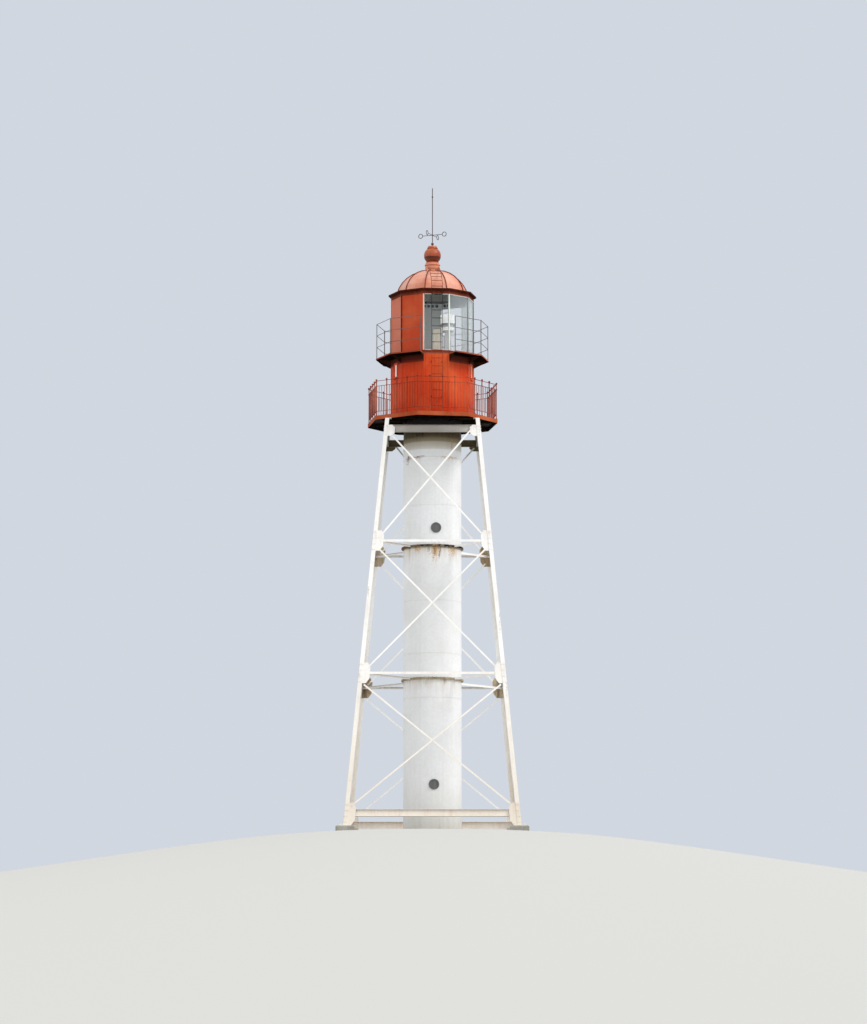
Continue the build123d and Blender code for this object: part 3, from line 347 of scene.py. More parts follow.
TOWER_WHITE = Paint(
    name="tower_white",
    slot=Slot.WHITE,
    colour=screen_colour(232, 233, 235),
    faded=screen_colour(224, 225, 225),
    stain=screen_colour(190, 172, 140),
    ledges=(
        # Olive stain under the gallery, darkening near the top into painted shade of the deck
        Ledge(15.20, 0.85, 1.0, screen_colour(142, 120, 64), 0.05, 0.4),
        Ledge(15.20, 0.56, 1.0, screen_colour(86, 70, 24), 0.10, 0.25),
        Ledge(15.20, 0.40, 1.0, screen_colour(34, 25, 10), 0.30, 0.25),
        Ledge(14.05, 0.16, 0.55, RUST, 1.0),
        Ledge(12.30, 0.10, 0.25),
        Ledge(10.74, 0.45, 0.60, BEIGE, 0.30),
        Ledge(10.74, 0.85, 0.60, ORANGE_RUST, 1.0),
        Ledge(10.74, 0.07, 1.0, BLACK_RUST, 0.45, 0.3),
        Ledge(8.76, 0.10, 0.25),
        Ledge(6.80, 0.10, 0.25),
        Ledge(5.83, 0.50, 0.50, BEIGE, 0.30),
        Ledge(5.83, 0.75, 0.55, RUST, 1.0),
        Ledge(5.16, 0.10, 0.25),
        Ledge(0.20, -2.60, 0.55, DRY_OLIVE, 0.30),
        # Painted shade of the gallery deck over the tube's top
        Ledge(15.62, 0.50, 1.0, PAINTED_SHADE, 0.0, 0.01),
    ),
    marks=(
        RustMark(-0.90, 14.12, 0.09, 0.30, 1.0, BROWN_RUST),
        RustMark(-0.60, 14.10, 0.34, 0.09, 1.0, BROWN_RUST),
        RustMark(0.62, 14.10, 0.40, 0.09, 1.0, ORANGE_RUST),
        RustMark(0.72, 14.74, 0.04, 0.60, 0.8, ORANGE_RUST),
        RustMark(0.10, 10.74, 0.24, 0.62, 1.0, ORANGE_RUST),
        RustMark(0.08, 10.74, 0.07, 0.40, 1.0, BROWN_RUST),
        RustMark(0.27, 10.74, 0.06, 0.50, 1.0, BROWN_RUST),
        RustMark(-0.14, 10.74, 0.06, 0.34, 0.9, BROWN_RUST),
        RustMark(-0.52, 10.74, 0.22, 0.26, 0.9, ORANGE_RUST),
        RustMark(0.76, 10.74, 0.20, 0.40, 0.9, ORANGE_RUST),
        # A dark patch left of the middle, just under the gallery
        RustMark(-0.45, 15.00, 0.42, 0.26, 0.9, BLACK_RUST),
        RustMark(-0.25, 5.82, 0.10, 0.30, 0.4, BROWN_RUST),
        RustMark(0.45, 5.82, 0.14, 0.26, 0.4, BROWN_RUST),
    ),
    fading=0.45,
    spotting=0.05,
    roughness=0.48,
    relief=0.0015,
)
FLANGE_RUSTY = Paint(
    name="flange_rusty",
    slot=Slot.WHITE,
    colour=screen_colour(206, 196, 176),
    faded=screen_colour(158, 130, 98),
    stain=BLACK_RUST,
    ledges=(
        # Painted shade of the gallery deck over the top flange
        Ledge(15.62, 0.60, 1.0, PAINTED_SHADE, 0.0, 0.01),
        Ledge(5.95, 0.20, 0.90, screen_colour(116, 96, 54), 0.35, 0.3),
    ),
    fading=0.45,
    spotting=0.60,
    roughness=0.75,
    gloss=0.10,
)
FLANGE_BLACK = replace(
    FLANGE_RUSTY,
    name="flange_black",
    colour=screen_colour(34, 22, 16),
    faded=screen_colour(126, 84, 48),
    stain=screen_colour(214, 192, 160),
    ledges=(),
    fading=0.25,
    spotting=0.55,
)
FRAME_WHITE = Paint(
    name="frame_white",
    slot=Slot.WHITE,
    colour=screen_colour(250, 249, 247),
    faded=screen_colour(240, 238, 233),
    stain=RUST,
    ledges=(
        Ledge(15.15, 0.45, 0.30),
        Ledge(11.16, 0.75, 0.25),
        Ledge(6.25, 0.75, 0.30),
        Ledge(0.30, -6.20, 0.45, screen_colour(208, 184, 142), 0.15, 0.8),
        Ledge(1.12, 0.80, 0.45),
    ),
    marks=(
        RustMark(2.46, 8.10, 0.05, 0.85, 0.55, BROWN_RUST),
        RustMark(-2.34, 9.00, 0.05, 0.42, 0.55, BROWN_RUST),
        RustMark(-2.66, 6.00, 0.07, 0.50, 0.45, BROWN_RUST),
        RustMark(2.70, 5.50, 0.05, 0.60, 0.45, BROWN_RUST),
    ),
    spotting=0.10,
    # Grey on the faces that look down: painted shade
    underside=screen_colour(150, 144, 132),
)
# The rear of the frame: olive stain, heavy under the struts and the gallery, darkened as painted shade at the
# back of the frame
FRAME_REAR = replace(
    FRAME_WHITE,
    name="frame_rear",
    stain=screen_colour(84, 76, 50),
    ledges=(
        Ledge(15.20, 0.80, 0.95, None, 0.25, 0.6),
        Ledge(11.00, 0.62, 0.85, None, 0.50),
        Ledge(6.08, 0.62, 0.85, None, 0.50),
        Ledge(1.12, 0.80, 0.45),
    ),
    marks=(),
    gloss=0.10,
)
PLATE_RUSTY = replace(
    FRAME_REAR,
    name="plate_rusty",
    colour=screen_colour(196, 178, 150),
    faded=screen_colour(150, 118, 84),
    stain=BLACK_RUST,
    ledges=(),
    spotting=0.8,
)
# The front top beam greyed: painted shade of the gallery over it
TOP_BEAM_SHADED = replace(
    FRAME_WHITE,
    name="top_beam_shaded",
    colour=screen_colour(190, 188, 183),
    faded=screen_colour(172, 168, 160),
    marks=(),
    gloss=0.15,
)
# The rear top beam: olive stain, darkened as painted shade
TOP_BEAM_OLIVE = replace(
    TOP_BEAM_SHADED,
    name="top_beam_olive",
    colour=screen_colour(92, 86, 62),
    faded=screen_colour(76, 68, 46),
)
WALL_RED = Paint(
    name="wall_red",
    slot=Slot.RED,
    colour=screen_colour(208, 61, 18),
    faded=screen_colour(224, 98, 50),
    stain=screen_colour(112, 26, 8),
    ledges=(
        # Painted shadow of the upper deck over the wall's top
        Ledge(17.72, 0.55, 0.60, screen_colour(84, 20, 8), 0.30),
        Ledge(17.90, 0.33, 1.0, PAINTED_SHADE, 0.0, 0.22),
    ),
    spotting=0.10,
    board=0.162,
    # The front side has no deck over it and so no painted shadow
    spared=5.8,
    lining=screen_colour(196, 204, 200),
    gloss=0.12,
    joints=0.32,
)
DECK_RED = Paint(
    name="deck_red",
    slot=Slot.RED,
    colour=screen_colour(158, 68, 34),
    faded=screen_colour(186, 100, 66),
    stain=screen_colour(80, 28, 14),
    fading=0.45,
    spotting=0.20,
    # Inner faces and underside near black: painted shade under the gallery deck
    lining=PAINTED_SHADE,
    underside=PAINTED_SHADE,
    gloss=0.04,
)
UPPER_DECK_RED = Paint(
    name="upper_deck_red",
    slot=Slot.RED,
    colour=screen_colour(146, 66, 44),
    faded=screen_colour(186, 114, 90),
    stain=screen_colour(40, 16, 10),
    fading=0.35,
    spotting=0.20,
    # Underside near black: painted shade under the upper deck
    underside=PAINTED_SHADE,
    gloss=0.0,
)
# The deck brackets near black: painted shade under the upper deck
BRACKET_DARK = replace(
    UPPER_DECK_RED,
    name="bracket_dark",
    colour=screen_colour(42, 18, 12),
    faded=screen_colour(60, 26, 16),
)
DOOR_RED = replace(
    DECK_RED,
    name="door_red",
    colour=screen_colour(196, 76, 40),
    faded=screen_colour(214, 112, 76),
    lining=None,
    underside=None,
    gloss=0.25,
)
RAIL_RED = Paint(
    name="rail_red",
    slot=Slot.RED,
    colour=screen_colour(132, 54, 34),
    faded=screen_colour(184, 102, 74),
    stain=screen_colour(56, 28, 20),
    fading=0.35,
    spotting=0.30,
    relief=0.0006,
    gloss=0.12,
)
RAIL_GREY = Paint(
    name="rail_grey",
    slot=Slot.RED,
    colour=screen_colour(96, 90, 90),
    faded=screen_colour(126, 116, 112),
    stain=screen_colour(84, 50, 40),
    fading=0.35,
    spotting=0.30,
    relief=0.0006,
    gloss=0.15,
)
LADDER_DARK = Paint(
    name="ladder_dark",
    slot=Slot.RED,
    colour=screen_colour(142, 44, 20),
    faded=screen_colour(160, 66, 38),
    stain=screen_colour(70, 26, 16),
    # The ladder below the eave, in front of the glass, dark grey: painted shade
    ledges=(Ledge(20.36, 2.40, 1.0, screen_colour(44, 38, 34), 0.0, 0.04),),
    fading=0.35,
    spotting=0.25,
    relief=0.0006,
    gloss=0.08,
)
LADDER_SALMON = replace(
    LADDER_DARK,
    name="ladder_salmon",
    colour=screen_colour(140, 74, 52),
    faded=screen_colour(168, 100, 76),
    ledges=(),
)
PANEL_RED = Paint(
    name="panel_red",
    slot=Slot.RED,
    colour=screen_colour(190, 66, 28),
    faded=screen_colour(206, 100, 60),
    stain=screen_colour(130, 36, 14),
    ledges=(Ledge(20.15, 0.35, 0.35),),
    fading=0.35,
    spotting=0.08,
    roughness=0.45,
    lining=screen_colour(226, 236, 236),
    gloss=0.15,
)
PANEL_FADED = replace(
    PANEL_RED,
    name="panel_faded",
    colour=screen_colour(200, 110, 82),
    faded=screen_colour(214, 138, 112),
)
HEAD_RED = Paint(
    name="head_red",
    slot=Slot.RED,
    colour=screen_colour(120, 44, 24),
    faded=screen_colour(168, 84, 58),
    stain=screen_colour(50, 18, 12),
    # Painted shadow of the eave over the band's top
    ledges=(Ledge(20.40, 0.27, 1.0, PAINTED_SHADE, 0.15, 0.5),),
    spotting=0.20,
    lining=screen_colour(220, 230, 230),
    gloss=0.06,
)
VENT_COVER = replace(
    HEAD_RED,
    name="vent_cover",
    # Inner faces near black: painted shade in the vents
    lining=PAINTED_SHADE,
    gloss=0.0,
)
SILL_RED = replace(
    HEAD_RED,
    name="sill_red",
    colour=screen_colour(112, 36, 20),
    faded=screen_colour(140, 60, 40),
    ledges=(),
)
EAVE_DARK = Paint(
    name="eave_dark",
    slot=Slot.RED,
    colour=screen_colour(70, 20, 10),
    faded=screen_colour(96, 34, 20),
    stain=screen_colour(24, 12, 10),
    fading=0.30,
    spotting=0.25,
    # Inner faces and underside near black: painted shade under the eave
    lining=PAINTED_SHADE,
    underside=PAINTED_SHADE,
    gloss=0.03,
)
RIB_RED = Paint(
    name="rib_red",
    slot=Slot.RED,
    colour=screen_colour(118, 46, 32),
    faded=screen_colour(150, 76, 56),
    stain=screen_colour(56, 24, 18),
    fading=0.30,
    spotting=0.25,
    gloss=0.10,
)
ROOF_SALMON = Paint(
    name="roof_salmon",
    slot=Slot.RED,
    colour=screen_colour(212, 130, 102),
    faded=screen_colour(228, 174, 152),
    stain=screen_colour(168, 74, 44),
    ledges=(Ledge(21.42, 0.40, 0.50),),
    fading=0.50,
    spotting=0.25,
    roughness=0.40,
    lining=screen_colour(130, 134, 126),
    underside=screen_colour(130, 134, 126),
    gloss=0.35,
)
VENTILATOR_RED = Paint(
    name="ventilator_red",
    slot=Slot.RED,
    colour=screen_colour(156, 62, 30),
    faded=screen_colour(186, 104, 70),
    stain=screen_colour(84, 26, 14),
    ledges=(
        # A lighter band just under the cap, and painted shade over the ball's lower part
        Ledge(22.24, 0.10, 0.55, screen_colour(226, 168, 138), 0.2),
        Ledge(21.80, 0.21, 0.9, PAINTED_SHADE, 0.1, 0.6),
    ),
    fading=0.35,
    spotting=0.25,
    roughness=0.35,
    gloss=0.25,
)
NECK_SALMON = replace(
    ROOF_SALMON,
    name="neck_salmon",
    colour=screen_colour(208, 122, 88),
    faded=screen_colour(224, 156, 126),
    ledges=(
        # Thin dark lines: painted shade under the ball and under the rolled collar
        Ledge(21.60, 0.045, 0.75, screen_colour(90, 36, 20), 0.0),
        Ledge(21.47, 0.045, 0.80, BLACK_RUST, 0.0),
    ),
    lining=None,
    underside=None,
)
MULLION_PALE = Paint(
    name="mullion_pale",
    slot=Slot.PALE,
    colour=screen_colour(222, 230, 224),
    faded=screen_colour(206, 214, 206),
    stain=screen_colour(150, 116, 86),
    roughness=0.45,
    relief=0.0006,
)
MULLION_ORANGE = replace(
    MULLION_PALE,
    name="mullion_orange",
    colour=screen_colour(236, 220, 208),
    faded=screen_colour(226, 178, 150),
    fading=0.55,
)
# The pale paint darkened where a mullion stands against the bright glass: painted shade
MULLION_SHADED = replace(
    MULLION_PALE,
    name="mullion_shaded",
    colour=screen_colour(92, 96, 96),
    faded=screen_colour(120, 126, 126),
    stain=screen_colour(70, 52, 40),
)
MULLION_RED = replace(
    MULLION_PALE,
    name="mullion_red",
    colour=screen_colour(84, 32, 18),
    faded=screen_colour(118, 46, 26),
    stain=BLACK_RUST,
    spotting=0.5,
    gloss=0.05,
)
MULLION_SALMON = replace(
    MULLION_PALE,
    name="mullion_salmon",
    colour=screen_colour(196, 108, 80),
    faded=screen_colour(210, 134, 108),
    stain=RUST,
)
# The pale paint half darkened where a mullion stands against the bright glass: painted shade
MULLION_HALF_SHADED = replace(
    MULLION_PALE,
    name="mullion_half_shaded",
    colour=screen_colour(150, 158, 156),
    faded=screen_colour(166, 172, 170),
)
CABINET_BEIGE = Paint(
    name="cabinet_beige",
    slot=Slot.PALE,
    colour=screen_colour(250, 243, 222),
    faded=screen_colour(240, 232, 210),
    stain=screen_colour(120, 108, 84),
    fading=0.30,
    spotting=0.08,
    roughness=0.40,
    relief=0.0004,
)
STAND_PALE = Paint(
    name="stand_pale",
    slot=Slot.PALE,
    colour=screen_colour(228, 234, 234),
    faded=screen_colour(214, 220, 220),
    stain=screen_colour(120, 116, 104),
    fading=0.30,
    spotting=0.10,
    roughness=0.40,
    relief=0.0004,
)
LAMP_WHITE = Paint(
    name="lamp_white",
    slot=Slot.LAMP,
    colour=screen_colour(248, 250, 250),
    faded=screen_colour(240, 243, 244),
    stain=screen_colour(150, 148, 140),
    ledges=(Ledge(19.25, 0.16, 0.9, screen_colour(58, 62, 62), 0.0, 0.4),),
    fading=0.20,
    spotting=0.04,
    roughness=0.25,
    relief=0.0002,
    gloss=0.50,
    # Painted glow that stands in for daylight on the lamp
    painted_glow=0.28,
)
PORTHOLE_GREY = Paint(
    name="porthole_grey",
    slot=Slot.WHITE,
    colour=screen_colour(112, 112, 108),
    faded=screen_colour(132, 132, 128),
    stain=screen_colour(96, 74, 52),
    fading=0.30,
    spotting=0.20,
    relief=0.0006,
)
WINDOW_RED = replace(
    WALL_RED,
    name="window_red",
    ledges=(),
    board=0.0,
    spared=None,
    lining=None,
)
BEAM_DARK = Paint(
    name="beam_dark",
    slot=Slot.DARK,
    colour=screen_colour(20, 14, 11),
    faded=screen_colour(34, 24, 19),
    stain=DARK_RUST,
    fading=0.35,
    roughness=0.75,
    gloss=0.0,
)
ROD_DARK = Paint(
    name="rod_dark",
    slot=Slot.DARK,
    colour=screen_colour(70, 68, 72),
    faded=screen_colour(98, 96, 98),
    stain=RUST,
    fading=0.30,
    spotting=0.20,
    roughness=0.60,
    relief=0.0004,
    gloss=0.15,
)


def new_object(name: str, data: bpy.types.ID) -> bpy.types.Object:
    """Makes an object and links it to the scene.

    Args:
        name: Its name.
        data: Its mesh, lamp or camera.

    Returns:
        The object.
    """
    made = bpy.data.objects.new(name, data)
    bpy.context.scene.collection.objects.link(made)
    return made


def level_ring(radius: float, height: float, flats: int) -> list[Point]:
    """Gives the points of a level ring about the axis.

    Args:
        radius: Its radius: at zero it is a single point.
        height: Its level.
        flats: Number of points round.

    Returns:
        The points, turning to the left.
    """
    steps = [2 * math.pi * index / flats for index in range(flats if radius else 1)]
    return [(radius * math.cos(step), radius * math.sin(step), height) for step in steps]


def soften(work: bmesh.types.BMesh, crease: float) -> None:
    """Shades a mesh softly, and leaves its open edges and its creases sharp.

    Args:
        work: The mesh.
        crease: Angle in degrees over which an edge stays sharp.
    """
    limit = math.radians(crease)
    for edge in work.edges:
        edge.smooth = len(edge.link_faces) == 2 and edge.calc_face_angle(math.pi) < limit
    for face in work.faces:
        face.smooth = True


class Graph:
    """A node tree under construction, for shaders and geometry alike."""

    def __init__(self, tree: bpy.types.NodeTree) -> None:
        """Starts on an empty tree."""
        self.tree = tree

    def node(self, kind: str, feeds: dict | None = None, **settings: object) -> bpy.types.Node:
        """Adds a node.

        Args:
            kind: The node's type name.
            feeds: What goes into its sockets, by name or number: another socket or a plain value.
            **settings: The node's own settings.

        Returns:
            The new node.
        """
        made = self.tree.nodes.new(kind)
        for key, value in settings.items():
            setattr(made, key, value)
        for key, value in (feeds or {}).items():
            self.feed(made.inputs[key], value)
        return made

    def feed(self, socket: Socket, value: object) -> None:
        """Links or sets one input socket.

        Args:
            socket: The input.
            value: Another node's output, or a plain value.
        """
        if isinstance(value, Socket):
            self.tree.links.new(value, socket)
        else:
            socket.default_value = value

    def calc(self, operation: str, first: object, second: object = 0.0, clamp: bool = False) -> Socket:
        """Adds a calculation.

        Args:
            operation: The operation, as the node names it.
            first: First value or socket.
            second: Second value or socket.
            clamp: Whether the result stays between zero and one.

        Returns:
            The result's socket.
        """
        made = self.node("ShaderNodeMath", {0: first, 1: second}, operation=operation, use_clamp=clamp)
        return made.outputs[0]

    def scaled(self, value: object, factor: object, offset: object) -> Socket:
        """Multiplies a value and adds to it.

        Args:
            value: The value or socket.
            factor: What it is multiplied by.
            offset: What is added to the product.

        Returns:
            The result's socket.
        """
        feeds = {0: value, 1: factor, 2: offset}
        return self.node("ShaderNodeMath", feeds, operation="MULTIPLY_ADD").outputs[0]

    def upright(self, length: object) -> Socket:
        """Makes an upright vector of a length, given as a value or a socket."""
        return self.node("ShaderNodeCombineXYZ", {"Z": length}).outputs[0]

    def vector(self, operation: str, first: object, second: object = (0.0, 0.0, 0.0)) -> bpy.types.Node:
        """Adds a calculation with vectors.

        Args:
            operation: The operation, as the node names it.
            first: First vector or socket.
            second: Second vector or socket.

        Returns:
            The node, because some results are vectors and some are numbers.
        """
        return self.node("ShaderNodeVectorMath", {0: first, 1: second}, operation=operation)


class ShaderGraph(Graph):
    """A shader tree under construction."""

    def blend(self, share: object, low: object, high: object) -> Socket:
        """Mixes two colours.

        Args:
            share: Share of the second colour.
            low: First colour or socket.
            high: Second colour or socket.

        Returns:
            The mixed colour's socket.
        """
        made = self.node("ShaderNodeMix", {0: share, 6: low, 7: high}, data_type="RGBA")
        return made.outputs[2]

    def span(self, value: object, low: float, high: float, start: float = 0.0, end: float = 1.0) -> Socket:
        """Maps a range onto another and clamps it.

        Args:
            value: The value or socket.
            low: Value that maps to start.
            high: Value that maps to end.
            start: Lower result.
            end: Upper result.

        Returns:
            The mapped value's socket.
        """
        feeds = {"Value": value, "From Min": low, "From Max": high, "To Min": start, "To Max": end}
        return self.node("ShaderNodeMapRange", feeds).outputs["Result"]

    def noise(self, where: object, scale: object, detail: float) -> Socket:
        """Adds soft noise.

        Args:
            where: Place socket.
            scale: Scale value or socket.
            detail: Octaves.

        Returns:
            The noise value's socket.
        """
        made = self.node("ShaderNodeTexNoise", {"Vector": where, "Scale": scale, "Detail": detail})
        return made.outputs["Fac"]

    def speckle(self, where: object, scale: object, detail: float, low: float, high: float,
                floor: float = 0.0) -> Socket:
        """Adds a mask of specks from soft noise.

        Args:
            where: Place socket.
            scale: Scale value or socket.
            detail: Octaves.
            low: Noise at which a speck begins.
            high: Noise at which it is full.
            floor: What the mask says between the specks.

        Returns:
            The mask's socket.
        """
        return self.span(self.noise(where, scale, detail), low, high, floor, 1.0)


class ShaderGroup:
    """A shader node group with named inputs and outputs."""

    def __init__(self, name: str, inputs: dict[str, str], outputs: dict[str, str]) -> None:
        """Makes the empty group.

        Args:
            name: Name of the group.
            inputs: Socket kind of each input, by name.
            outputs: Socket kind of each output, by name.
        """
        self.tree = bpy.data.node_groups.new(name, "ShaderNodeTree")
        for label, kind in inputs.items():
            self.tree.interface.new_socket(label, in_out="INPUT", socket_type=f"NodeSocket{kind}")
        for label, kind in outputs.items():
            self.tree.interface.new_socket(label, in_out="OUTPUT", socket_type=f"NodeSocket{kind}")
        self.graph = ShaderGraph(self.tree)
        self.given = self.graph.node("NodeGroupInput").outputs
        self.results = self.graph.node("NodeGroupOutput").inputs

    def place(self, graph: ShaderGraph, feeds: dict[str, object]) -> bpy.types.NodeOutputs:
        """Uses the group in a material.

        Args:
            graph: The material's graph.
            feeds: What goes into the group.

        Returns:
            The group's outputs in that material.
        """
        return graph.node("ShaderNodeGroup", feeds, node_tree=self.tree).outputs


class FinishShop:
    """Builds the shared shader groups once and a material for each finish."""

    weather = Weather()

    def __init__(self) -> None:
        """Builds the shared groups."""
        self.streaks = self._streak_group()
        self.blotches = self._blotch_group()
        self.ledge = self._ledge_group()
        self.mark = self._mark_group()
        self.boards = self._board_group()
        self.sides = self._side_group()
        self._made: dict[str, bpy.types.Material] = {}

    def _streak_group(self) -> ShaderGroup:
        """Makes the group of upright streaks that water leaves.

        Returns:
            The group.
        """
        group = ShaderGroup("water_streaks", {"Place": "Vector", "Spacing": "Float", "Length": "Float"},
                            {"Mask": "Float"})
        graph = group.graph
        across = graph.calc("DIVIDE", 1.0, group.given["Spacing"])
        down = graph.calc("DIVIDE", 1.0, group.given["Length"])
        stretch = graph.node("ShaderNodeCombineXYZ", {"X": across, "Y": across, "Z": down}).outputs[0]
        place = graph.vector("MULTIPLY", group.given["Place"], stretch).outputs[0]
        fine = graph.speckle(place, scale=1.0, detail=4.0, low=0.42, high=0.68)
        broad = graph.speckle(place, scale=0.23, detail=2.0, low=0.35, high=0.65)
        graph.feed(group.results["Mask"], graph.calc("MULTIPLY", fine, broad))
        return group

    def _blotch_group(self) -> ShaderGroup:
        """Makes the group of broad bleached patches and fine mottling.

        Returns:
            The group.
        """
        group = ShaderGroup("bleached_patches", {"Place": "Vector", "Size": "Float", "Share": "Float"},
                            {"Mask": "Float", "Grain": "Float"})
        graph = group.graph
        scale = graph.calc("DIVIDE", 1.0, group.given["Size"])
        broad = graph.noise(group.given["Place"], scale, 4.0)
        edge = graph.calc("SUBTRACT", 1.0, group.given["Share"])
        low = graph.scaled(edge, self.weather.patch_rise, self.weather.patch_level)
        high = graph.calc("ADD", low, self.weather.patch_edge)
        mask = graph.node("ShaderNodeMapRange", {"Value": broad, "From Min": low, "From Max": high})
        graph.feed(group.results["Mask"], mask.outputs["Result"])
        fine = graph.calc("MULTIPLY", scale, self.weather.grain)
        graph.feed(group.results["Grain"], graph.noise(group.given["Place"], fine, 5.0))
        return group

    def _ledge_group(self) -> ShaderGroup:
        """Makes the group that fades a stain out below a ledge.

        Returns:
            The group.
        """
        inputs = {"Height": "Float", "Ledge": "Float", "Reach": "Float", "Fall": "Float"}
        group = ShaderGroup("under_ledge", inputs, {"Mask": "Float"})
        graph, given = group.graph, group.given
        below = graph.calc("SUBTRACT", given["Ledge"], given["Height"])
        share = graph.calc("DIVIDE", below, given["Reach"])
        left = graph.calc("SUBTRACT", 1.0, share, clamp=True)
        fading = graph.calc("POWER", left, given["Fall"])
        under = graph.calc("GREATER_THAN", share, 0.0)
        graph.feed(group.results["Mask"], graph.calc("MULTIPLY", fading, under))
        return group

    def _mark_group(self) -> ShaderGroup:
        """Makes the group of one ragged run of rust on the front.

        Returns:
            The group.
        """
        inputs = {"Place": "Vector", "Across": "Float", "Height": "Float", "Width": "Float",
                  "Length": "Float"}
        group = ShaderGroup("front_mark", inputs, {"Mask": "Float"})
        graph, given, weather = group.graph, group.given, self.weather
        centred = graph.calc("SUBTRACT", graph.noise(given["Place"], weather.mark_waves, 5.0), 0.5)
        wobble = graph.calc("MULTIPLY", centred, weather.mark_raggedness)
        part = graph.node("ShaderNodeSeparateXYZ", {0: given["Place"]}).outputs
        shifted = graph.scaled(wobble, given["Width"], part["X"])
        aside = graph.calc("ABSOLUTE", graph.calc("SUBTRACT", shifted, given["Across"]))
        narrow = graph.calc("SUBTRACT", 1.0, graph.calc("DIVIDE", aside, given["Width"]), clamp=True)
        level = graph.scaled(wobble, given["Length"], part["Z"])
        down = graph.calc("DIVIDE", graph.calc("SUBTRACT", given["Height"], level), given["Length"])
        fading = graph.calc("SUBTRACT", 1.0, down, clamp=True)
        begun = graph.span(down, low=-0.08, high=0.04)
        ahead = graph.calc("LESS_THAN", part["Y"], 0.0)
        shape = graph.calc("MULTIPLY", narrow, fading)
        body = graph.calc("MULTIPLY", shape, graph.calc("MULTIPLY", begun, ahead))
        upright = graph.vector("MULTIPLY", given["Place"], weather.mark_drips).outputs[0]
        drips = graph.speckle(upright, scale=1.0, detail=4.0, low=0.36, high=0.60, floor=0.15)
        core = graph.span(body, low=0.04, high=0.60)
        graph.feed(group.results["Mask"], graph.calc("MULTIPLY", core, drips))
        return group

    def _board_group(self) -> ShaderGroup:
        """Makes the group of upright board joints on a flat wall round the axis.

        Returns:
            The group.
        """
        group = ShaderGroup("board_joints", {"Place": "Vector", "Facing": "Vector", "Board": "Float"},
                            {"Joint": "Float"})
        graph = group.graph
        along = graph.vector("CROSS_PRODUCT", (0.0, 0.0, 1.0), group.given["Facing"]).outputs[0]
        offset = graph.vector("DOT_PRODUCT", group.given["Place"], along).outputs["Value"]
        share = graph.calc("FRACT", graph.calc("DIVIDE", offset, group.given["Board"]))
        middle = graph.calc("ABSOLUTE", graph.calc("SUBTRACT", share, 0.5))
        joint = graph.span(middle, low=self.weather.joint_edge, high=self.weather.joint_core)
        graph.feed(group.results["Joint"], joint)
        return group

    def _side_group(self) -> ShaderGroup:
        """Makes the group that tells inward and downward faces from the rest.

        Returns:
            The group.
        """
        group = ShaderGroup("face_sides", {"Place": "Vector", "Facing": "Vector"},
                            {"Inward": "Float", "Downward": "Float"})
        graph = group.graph
        level = graph.vector("MULTIPLY", group.given["Place"], (1.0, 1.0, 0.0)).outputs[0]
        radial = graph.vector("NORMALIZE", level).outputs[0]
        outward = graph.vector("DOT_PRODUCT", radial, group.given["Facing"]).outputs["Value"]
        graph.feed(group.results["Inward"], graph.span(outward, low=-0.3, high=-0.6))
        up = graph.node("ShaderNodeSeparateXYZ", {0: group.given["Facing"]}).outputs["Z"]
        graph.feed(group.results["Downward"], graph.span(up, low=-0.5, high=-0.8))
        return group

    def _new(self, name: str) -> tuple[bpy.types.Material, ShaderGraph, bpy.types.Node]:
        """Starts a material.

        Args:
            name: Name of the material.

        Returns:
            The material, its graph and its surface shader.
        """
        material = bpy.data.materials.new(name)
        material.use_nodes = True
        graph = ShaderGraph(material.node_tree)
        return material, graph, material.node_tree.nodes["Principled BSDF"]

    def material(self, finish: Paint | Glass | Concrete) -> bpy.types.Material:
        """Gives the material of a finish, made once.

        Args:
            finish: The finish.

        Returns:
            Its material.
        """
        if finish.name not in self._made:
            makers = {Paint: self._paint, Glass: self._glass, Concrete: self._concrete}
            self._made[finish.name] = makers[type(finish)](finish)
        return self._made[finish.name]

    def _paint(self, finish: Paint) -> bpy.types.Material:
        """Makes the material of a paint.

        Args:
            finish: The paint.

        Returns:
            Its material.
        """
        weather = self.weather
        material, graph, shader = self._new(finish.name)
        place = graph.node("ShaderNodeTexCoord").outputs["Object"]
        facing = graph.node("ShaderNodeNewGeometry").outputs["Normal"]
        patches = self.blotches.place(graph, {"Place": place, "Size": weather.patch, "Share": finish.fading})
        colour = graph.blend(patches["Mask"], finish.colour, finish.faded)
        grain = graph.span(patches["Grain"], low=0.35, high=0.65)
        colour = graph.blend(grain, graph.blend(weather.grime, colour, GRIME), colour)
        feeds = {"Place": place, "Spacing": weather.streak_spacing, "Length": weather.streak_length}
        streaks = self.streaks.place(graph, feeds)["Mask"]
        spots = graph.speckle(place, scale=weather.spots, detail=5.0, low=0.60, high=0.72)
        stain = graph.calc("MAXIMUM", graph.calc("MULTIPLY", streaks, finish.spotting),
                           graph.calc("MULTIPLY", spots, finish.spotting))
        colour = graph.blend(stain, colour, finish.stain)
        colour = self._ledge_stains_and_shade(graph, finish, colour, place, facing, streaks)
        colour = self._rust_marks(graph, finish, colour, place)
        relief = patches["Grain"]
        if finish.board:
            feeds = {"Place": place, "Facing": facing, "Board": finish.board}
            joint = self.boards.place(graph, feeds)["Joint"]
            colour = graph.blend(graph.calc("MULTIPLY", joint, finish.joints), colour, finish.stain)
            relief = graph.calc("SUBTRACT", relief, graph.calc("MULTIPLY", joint, weather.joint_depth))
        # Inner and downward faces take their own colours: on some paints, painted shade
        if finish.lining or finish.underside:
            sides = self.sides.place(graph, {"Place": place, "Facing": facing})
            if finish.lining:
                colour = graph.blend(sides["Inward"], colour, finish.lining)
            if finish.underside:
                colour = graph.blend(sides["Downward"], colour, finish.underside)
        graph.feed(shader.inputs["Base Color"], colour)
        shader.inputs["Specular IOR Level"].default_value = finish.gloss
